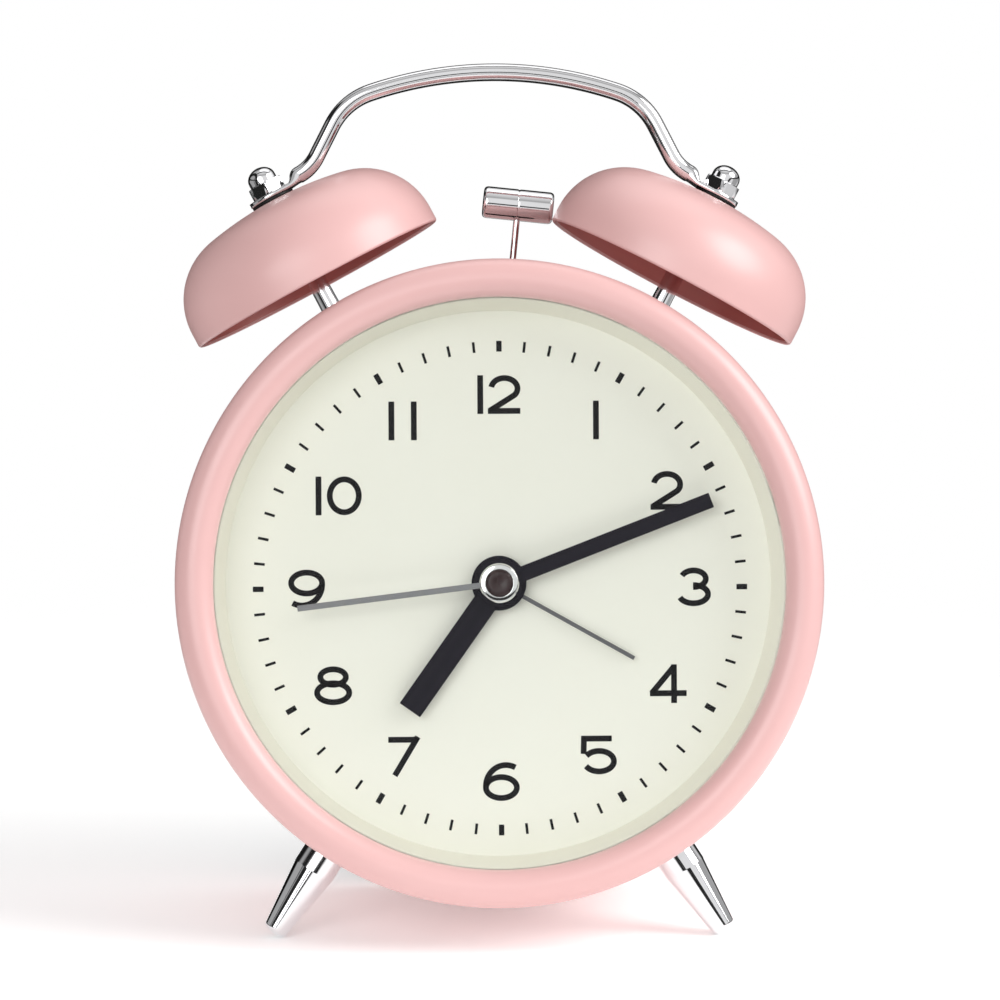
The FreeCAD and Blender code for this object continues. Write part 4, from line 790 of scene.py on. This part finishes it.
def handlePath():
    # half of the bar's middle line, from one tab's end to the top, with its width and thickness
    size = handleSet
    tilt, slant = math.radians(size["tilt"]), math.radians(size["slant"])
    inward = Vector((math.cos(tilt), math.sin(tilt)))
    climb = Vector((math.cos(slant), math.sin(slant)))
    normal, turned = Vector((-inward.y, inward.x)), Vector((climb.y, -climb.x))
    post = Vector((-math.sin(tilt), math.cos(tilt))) * size["tabAt"] - Vector((0, size["drop"]))
    lift = (size["thick"] - size["tab"]) / 2
    vertex = post + inward * size["reach"] + normal * lift
    setback = size["bend"] * math.tan((slant - tilt) / 2)
    # the corner touches the slanting side and, from inside, the arch
    archCentre = Vector((0, size["top"] - size["arch"]))
    beside = vertex + turned * size["corner"] - archCentre
    along = beside.dot(climb)
    rise = -along + math.sqrt(along ** 2 - beside.dot(beside) + (size["arch"] - size["corner"]) ** 2)
    centre = beside + climb * rise + archCentre
    toArch = (centre - archCentre).normalized()

    path, shape = [], []
    for step in range(size["tabSteps"] + 1):
        reach = -size["tabRadius"] * math.cos(math.radians(step * 90 / size["tabSteps"]))
        path.append(post + inward * reach)
        shape.append((2 * math.sqrt(max(size["tabRadius"] ** 2 - reach ** 2, 0.01)), size["tab"]))
    for step in range(1, size["flat"] + 1):
        path.append(post + inward * step)
        shape.append((2 * size["tabRadius"] - 0.1 * step, size["tab"]))
    neckLong = size["reach"] - setback - size["neckAt"]
    for step in range(size["neckSteps"] + 1):
        share = step / size["neckSteps"]
        ease = share * share * (3 - 2 * share)
        path.append(post + inward * (size["neckAt"] + neckLong * share) + normal * lift * ease)
        shape.append((size["neck"] - (size["neck"] - size["wide"]) * ease,
                      size["tab"] + (size["thick"] - size["tab"]) * ease))
    quarter = math.pi / 2
    path += bendSpots(vertex - inward * setback + normal * size["bend"], size["bend"], tilt - quarter,
                      slant - quarter, size["bendSteps"])
    path.append(centre - turned * size["corner"])
    side, last = math.atan2(-turned.y, -turned.x), math.atan2(toArch.y, toArch.x)
    path += bendSpots(centre, size["corner"], side, last, size["cornerSteps"])
    path += bendSpots(archCentre, size["arch"], last, quarter, size["archSteps"])
    shape += [(size["wide"], size["thick"])] * (len(path) - len(shape))
    return path, shape


def makeHandle():
    half, shape = handlePath()
    path = half + [Vector((-spot.x, spot.y)) for spot in half[-2::-1]]
    shape = shape + shape[-2::-1]
    last = len(path) - 1
    bm = bmesh.new()
    rings = []
    for index, (spot, (wide, thick)) in enumerate(zip(path, shape)):
        before, after = max(index - 1, 0), min(index + 1, last)
        if index < flatRings:  # the tabs stay flat
            before, after = 2, flatRings
        elif index > last - flatRings:
            before, after = last - flatRings, last - 2
        along = (path[after] - path[before]).normalized()
        middle, up = Vector((spot.x, handleSet["back"], spot.y)), Vector((-along.y, 0, along.x))
        rings.append([bm.verts.new(middle + up * high + Vector((0, 1, 0)) * side)
                      for high, side in barSection(wide, thick)])
    skinInto(bm, rings)
    meshPiece("carryHandle", bm, clock, chrome, "case", "handle")


hammerSet = {"edge": 0.9, "seamDeep": 0.12, "seamHalf": 0.25, "seamFloor": 0.08, "rodAngle": 6}


def makeHammer():
    # a thin rod with a turned head across it, scored round the middle
    rod = spindle("hammer_rod", hammerSet["rodAngle"])
    rodRadius, low, high = sizeOf("hammer_rod", rod)
    along = clock.to_3x3().inverted() @ rod.to_3x3().col[1]
    head = spindle("hammer_head", 90 + math.degrees(math.atan2(along.x, along.z)))
    radius, start, end = sizeOf("hammer_head", head)
    seam, floor, edge = (start + end) / 2, radius - hammerSet["seamDeep"], hammerSet["edge"]
    half, narrow = hammerSet["seamHalf"], hammerSet["seamFloor"]
    profile = softened([(0, start), (radius, start, edge), (radius, seam - half), (floor, seam - narrow),
                        (floor, seam + narrow), (radius, seam + half), (radius, end, edge), (0, end)], 8)
    lathe("hammerHead", profile, head, chrome, "hammer", "hammer_head", steps=128)
    lathe("hammerRod", [(0, low), (rodRadius, low), (rodRadius, high), (0, high)], rod, chrome, "hammer",
          "hammer_rod", steps=48)


makeHandle()
makeHammer()
print("handle and hammer ready")

# dial

dialSet = {"tickOuter": 46, "tickInner": 44, "hourTick": 1.0, "minuteTick": 0.5, "ring": 36, "tall": 7.2,
           "stroke": 1.08, "ink": 0.03, "shift": (0.3, -0.9), "inset": {10: 1.4},
           "gaps": {10: 0.14, 11: 0.43, 12: 0.12}, "bore": 2.2}
ringSet = {"opening": 52.6, "flange": 1.2, "wall": 53.4, "footOuter": 51.9, "footInner": 50.7}


def curve(across, up, wide, tall, first, last, steps=26):
    # part of an ellipse; 0 degrees is right, 90 up
    turns = [math.radians(first + (last - first) * step / steps) for step in range(steps + 1)]
    return [(across + wide * math.cos(turn), up + tall * math.sin(turn)) for turn in turns]


line = dialSet["stroke"] / dialSet["tall"]
edge = 0.5 - line / 2  # middle of a stroke along the top

# each numeral's width and its strokes, for a height of 1
digits = {
    "0": (0.9, [curve(0, 0, 0.45 - line / 2, edge, 0, 360, 48)]),
    "1": (line, [[(0, -0.5), (0, 0.5)]]),
    "2": (0.86, [curve(0, edge - 0.27, 0.34, 0.27, 172, -38) + [(-0.36, -edge + 0.02)],
                 [(-0.43, -edge), (0.41, -edge)]]),
    "3": (0.89, [curve(0, edge - 0.215, 0.32, 0.215, 158, -92),
                 curve(0, 0.235 - edge, 0.375, 0.235, 92, -160)]),
    "4": (0.95, [[(0.15, -0.5), (0.15, 0.5)], [(-0.475, -0.245), (0.475, -0.245)],
                 [(-0.43, -0.245), (0.15, edge + 0.02)]]),
    "5": (0.97, [[(0.36, edge), (-0.36, edge), (-0.37, 0.03)],
                 curve(0.03, 0.265 - edge, 0.385, 0.265, 148, -152)]),
    "6": (0.95, [curve(0, 0.27 - edge, 0.4, 0.27, 0, 360, 44), curve(0.12, -0.12, 0.52, 0.545, 182, 62)]),
    "7": (0.83, [[(-0.415, edge), (0.34, edge)], [(0.35, 0.5), (-0.25, -0.5)]]),
    "8": (0.97, [curve(0, edge - 0.2, 0.33, 0.2, 0, 360, 40),
                 curve(0, 0.245 - edge, 0.415, 0.245, 0, 360, 44)]),
}
digits["9"] = (0.95, [[(-across, -up) for across, up in stroke] for stroke in digits["6"][1]])


def strokeInto(bm, points, wide, front, back):
    # a printed line of even width with square ends
    closed = (Vector(points[0]) - Vector(points[-1])).length < 1e-6
    spots = [Vector(point) for point in (points[:-1] if closed else points)]
    count = len(spots)
    rings = []
    for index, here in enumerate(spots):
        before = here - spots[index - 1] if index or closed else spots[1] - here
        after = spots[(index + 1) % count] - here if index < count - 1 or closed else before
        before, after = before.normalized(), after.normalized()
        side = (Vector((-before.y, before.x)) + Vector((-after.y, after.x))).normalized()
        reach = wide / 2 / max(0.35, side.dot(Vector((-after.y, after.x))))
        rings.append([bm.verts.new((spot.x, deep, spot.y)) for spot, deep in (
            (here + side * reach, front), (here - side * reach, front), (here - side * reach, back),
            (here + side * reach, back))])
    skinInto(bm, rings, joined=closed, capped=not closed)


def makeTicks(bm, centre, front, back):
    for minute in range(60):
        turn = math.radians(6 * minute)
        ray = Vector((math.sin(turn), math.cos(turn)))
        wide = dialSet["minuteTick"] if minute % 5 else dialSet["hourTick"]
        ends = [centre + ray * dialSet[end] for end in ("tickInner", "tickOuter")]
        strokeInto(bm, ends, wide, front, back)


def makeNumerals(bm, centre, front, back):
    for hour in range(1, 13):
        turn = math.radians(30 * hour)
        text, gap = str(hour), dialSet["gaps"].get(hour, 0)
        middle = Vector((math.sin(turn), math.cos(turn))) * (dialSet["ring"] - dialSet["inset"].get(hour, 0))
        across = -(sum(digits[mark][0] for mark in text) + gap) / 2
        for mark in text:
            width, strokes = digits[mark]
            for stroke in strokes:
                moved = [centre + middle + Vector((spot[0] + across + width / 2, spot[1])) * dialSet["tall"]
                         for spot in stroke]
                strokeInto(bm, moved, dialSet["stroke"], front, back)
            across += width + gap


def makePrint():
    back = localBox("dial")[0].y
    front = back - dialSet["ink"]
    centre = Vector(dialSet["shift"])
    bm = bmesh.new()
    makeTicks(bm, centre, front, back)
    makeNumerals(bm, centre, front, back)
    meshPiece("dialPrint", bm, clock, dialInk, "case", "dial_print", weighted=False)


def makeDial():
    radius, front, back = sizeOf("dial", clock)
    bore = dialSet["bore"]
    profile = softened([(bore, front, 0.1), (radius, front, 0.05), (radius, back), (bore, back)])
    lathe("dialDisc", profile, clock, dialCard, "case", "dial", steps=200)


def makeRing():
    # the pale ring slopes in from behind the glass to the dial
    radius, front, back = sizeOf("dial_ring", clock)
    under = front + ringSet["flange"]
    profile = softened([(ringSet["opening"], front, 0.25), (radius, front, 0.2), (radius, under),
                        (ringSet["wall"], under), (ringSet["footOuter"], back),
                        (ringSet["footInner"], back, 0.1)])
    lathe("dialRing", profile, clock, ringCard, "case", "dial_ring", steps=256)


def makeGlass():
    radius, front, back = sizeOf("glass_lens", clock)
    lathe("glassLens", [(0, front), (radius, front), (radius, back), (0, back)], clock, glassPane, "case",
          "glass_lens", steps=200)


makeDial()
makeRing()
makeGlass()
makePrint()
print("dial ready")

# hands: angles are clockwise from 12 in degrees, widths and hub radii in millimetres

handSet = {
    "alarm_hand": {"body": "alarm_work", "angle": 119.3, "wide": 0.75, "hub": 3.6, "finish": darkGrey},
    "hour_hand": {"body": "hour_work", "angle": 215.4, "wide": 4.6, "hub": 5.1, "finish": handEnamel},
    "minute_hand": {"body": "minute_work", "angle": 68.9, "wide": 2.85, "hub": 4.4, "finish": handEnamel},
    "second_hand": {"body": "seconds_work", "angle": 263.1, "wide": 1.1, "hub": 3.7, "finish": greyEnamel},
}
stampSet = {"bevel": 0.09, "steps": 60, "collarIn": 0.15, "collarProud": 0.02, "collarDeep": 0.1}


def makeHand(node, body, angle, wide, hub, finish):
    # a stamped blade and its round hub in one outline, pressed up a little round the bore
    low, high = localBox(node)
    reaches = [math.hypot(spot.x, spot.z) for spot in pointsOf(node, clock)]
    half, steps = wide / 2, stampSet["steps"]
    tip = math.sqrt(max(reaches) ** 2 - half ** 2)
    spread = math.asin(half / hub)
    outline = [(half, tip), (-half, tip)]
    for step in range(steps + 1):
        turn = math.pi / 2 + spread + (2 * math.pi - 2 * spread) * step / steps
        outline.append((hub * math.cos(turn), hub * math.sin(turn)))
    bm = bmesh.new()
    slabInto(bm, outline, low.y, high.y, stampSet["bevel"])
    bm.transform(Matrix.Rotation(math.radians(angle), 4, "Y"))
    if node != "second_hand":
        bore, rim = min(reaches), hub - stampSet["collarIn"]
        front, back = low.y - stampSet["collarProud"], low.y + stampSet["collarDeep"]
        latheInto(bm, [(bore, front), (rim, front), (rim, back), (bore, back)], 72, True)
    meshPiece(node.split("_")[0] + "Hand", bm, clock, finish, body, node)


capSet = {"bore": 2.55, "proud": 0.5, "slope": 0.08, "inset": 0.2, "dip": 0.22, "edge": 0.78, "edgeAt": 0.7}


def makeCap():
    # turned collar round the seconds hand's hub and the dark cap in its middle, dimpled at the centre
    low, high = localBox("second_hand")
    hub, bore = handSet["second_hand"]["hub"], capSet["bore"]
    front = low.y - capSet["proud"]
    collar = softened([(bore, front, 0.12), (hub - capSet["inset"], front + capSet["slope"], 0.25),
                       (hub, low.y + 0.1, 0.1), (hub, high.y), (bore, high.y)], 6)
    lathe("hubCollar", collar, clock, chrome, "seconds_work", steps=96)
    radius, front, back = sizeOf("hand_cap", clock)
    cap = [(0, front + capSet["dip"]), (0.25, front + 0.16), (0.5, front + 0.02)]
    cap += arc(radius - 0.8, front + capSet["edgeAt"], capSet["edge"], -84, 0, 10)
    cap += [(radius, back), (0, back)]
    lathe("handCap", cap, clock, capPolish, "seconds_work", "hand_cap", steps=96)


for node, settings in handSet.items():
    makeHand(node, **settings)
makeCap()
print("hands ready")

# back: knobs and screws

knobSet = {"flutes": 24, "deep": 0.32, "edge": 0.6, "foot": 0.4, "dish": 0.5, "rim": 1.6, "dishFrom": 2.1,
           "dishTo": 4.4, "fluteSteps": 8, "edgeSteps": 5}


def makeKnob(node, body):
    # fluted knob with a rounded edge and a shallow dish in its face
    low, high = localBox(node)
    place = clock @ Matrix.Translation(((low.x + high.x) / 2, 0, (low.z + high.z) / 2))
    radius, front, back = sizeOf(node, place)
    edge, foot, floor = knobSet["edge"], knobSet["foot"], back - knobSet["dish"]
    levels = [(front, foot), (front + foot, 0.0), (back - edge, 0.0)]
    for step in range(1, knobSet["edgeSteps"] + 1):
        turn = math.radians(step * 90 / knobSet["edgeSteps"])
        levels.append((back - edge * (1 - math.sin(turn)), edge * (1 - math.cos(turn))))
    levels += [(back, knobSet["rim"]), (floor, knobSet["dishFrom"]), (floor, knobSet["dishTo"])]
    bm = bmesh.new()
    steps = knobSet["flutes"] * knobSet["fluteSteps"]
    rings = []
    for depth, inset in levels:
        ring = []
        for step in range(steps):
            turn = 2 * math.pi * step / steps
            reach = radius - inset
            if inset <= edge:
                reach -= knobSet["deep"] * max(0.0, math.cos(knobSet["flutes"] * turn))
            ring.append(bm.verts.new((reach * math.cos(turn), depth, reach * math.sin(turn))))
        rings.append(ring)
    skinInto(bm, rings)
    meshPiece(node.split("_")[0] + "Knob", bm, place, knobPlastic, body, node, sharp=50)


screwSet = {"radius": 2.8, "shank": 1.2, "high": 1.8, "side": 0.7, "crossTurns": (40, 130),
            "cross": (2.9, 2, 0.62)}


def middleOf(spots):
    # middle of the points' box, across and up
    return Vector([(min(row) + max(row)) / 2 for row in zip(*((spot.x, spot.z) for spot in spots))])


def makeScrews():
    # pan heads with a cross recess, at the four corners of the movement
    low, high = localBox("cover_screws")
    heads = [spot for spot in pointsOf("cover_screws", clock) if abs(spot.y - high.y) < 0.05]
    centres = []
    for across in (-1, 1):
        half = [spot for spot in heads if spot.x * across > 0]
        level = middleOf(half).y
        for up in (-1, 1):
            centres.append(middleOf([spot for spot in half if (spot.z - level) * up > 0]))
    radius, shank = screwSet["radius"], screwSet["shank"]
    seat = high.y - screwSet["high"]
    side = seat + screwSet["side"]
    profile = [(0, low.y), (shank, low.y), (shank, seat), (radius, seat), (radius, side)]
    for step in range(1, 10):
        turn = math.radians(step * 9)
        profile.append((radius * math.cos(turn), side + (high.y - side) * math.sin(turn)))
    profile.append((0, high.y))
    bm, cutter = bmesh.new(), bmesh.new()
    for centre in centres:
        place = Matrix.Translation((centre.x, 0, centre.y))
        latheInto(bm, profile, 48, False, None, place)
        for turn in screwSet["crossTurns"]:
            blade = Matrix.Rotation(math.radians(turn), 4, "Y") @ Matrix.Diagonal((*screwSet["cross"], 1))
            bmesh.ops.create_cube(cutter, size=1, matrix=place @ Matrix.Translation((0, high.y, 0)) @ blade)
    cutter.transform(clock)
    screws = meshPiece("coverScrews", bm, clock, zincSteel, "case", "cover_screws", weighted=False)
    cutAway(screws, cutter, crossing=True)
    for polygon in screws.data.polygons:
        polygon.use_smooth = True


makeKnob("time_set_knob", "time_setter")
makeKnob("alarm_set_knob", "alarm_setter")
makeScrews()
print("back ready")

# finishes of the CAD nodes that stay as they are

nodeFinishes = {
    "rear_cover": blackPlastic, "battery_door": blackPlastic, "movement_shell": blackPlastic,
    "alarm_switch": knobPlastic, "battery_cells": cellJacket, "circuit_board": boardLaminate,
    "coil": copperWire, "rotor": magnetPlastic, "dial_nut": washerBlack, "dial_print": dialInk,
    "battery_contacts": zincSteel, "stator": zincSteel, "motor": zincSteel, "hammer_lever": zincSteel,
    "hammer_pivot_pin": zincSteel, "striker_stud": zincSteel, "striker_back_plate": zincSteel,
    "striker_front_plate": zincSteel, "striker_spacers": zincSteel, "post_nuts": zincSteel,
    "leg_nuts": zincSteel, "time_set_shaft": zincSteel, "alarm_set_shaft": zincSteel,
    "motor_pinion": brassMetal, "cover_posts": brassMetal, "cannon_pinion": brassMetal,
}
mouldSet = {"nodes": ("rear_cover", "battery_door", "alarm_switch"), "edge": 0.18, "segments": 2,
            "angle": 35}

for node, piece in frame["nodes"].items():
    piece.data.materials.clear()
    piece.data.materials.append(nodeFinishes.get(node, whitePlastic))
for node in mouldSet["nodes"]:
    # moulded edges are never knife-sharp
    rounding = frame["nodes"][node].modifiers.new("mouldedEdge", "BEVEL")
    rounding.width = mouldSet["edge"] * mm
    rounding.segments = mouldSet["segments"]
    rounding.limit_method = "ANGLE"
    rounding.angle_limit = math.radians(mouldSet["angle"])
print("finishes set")
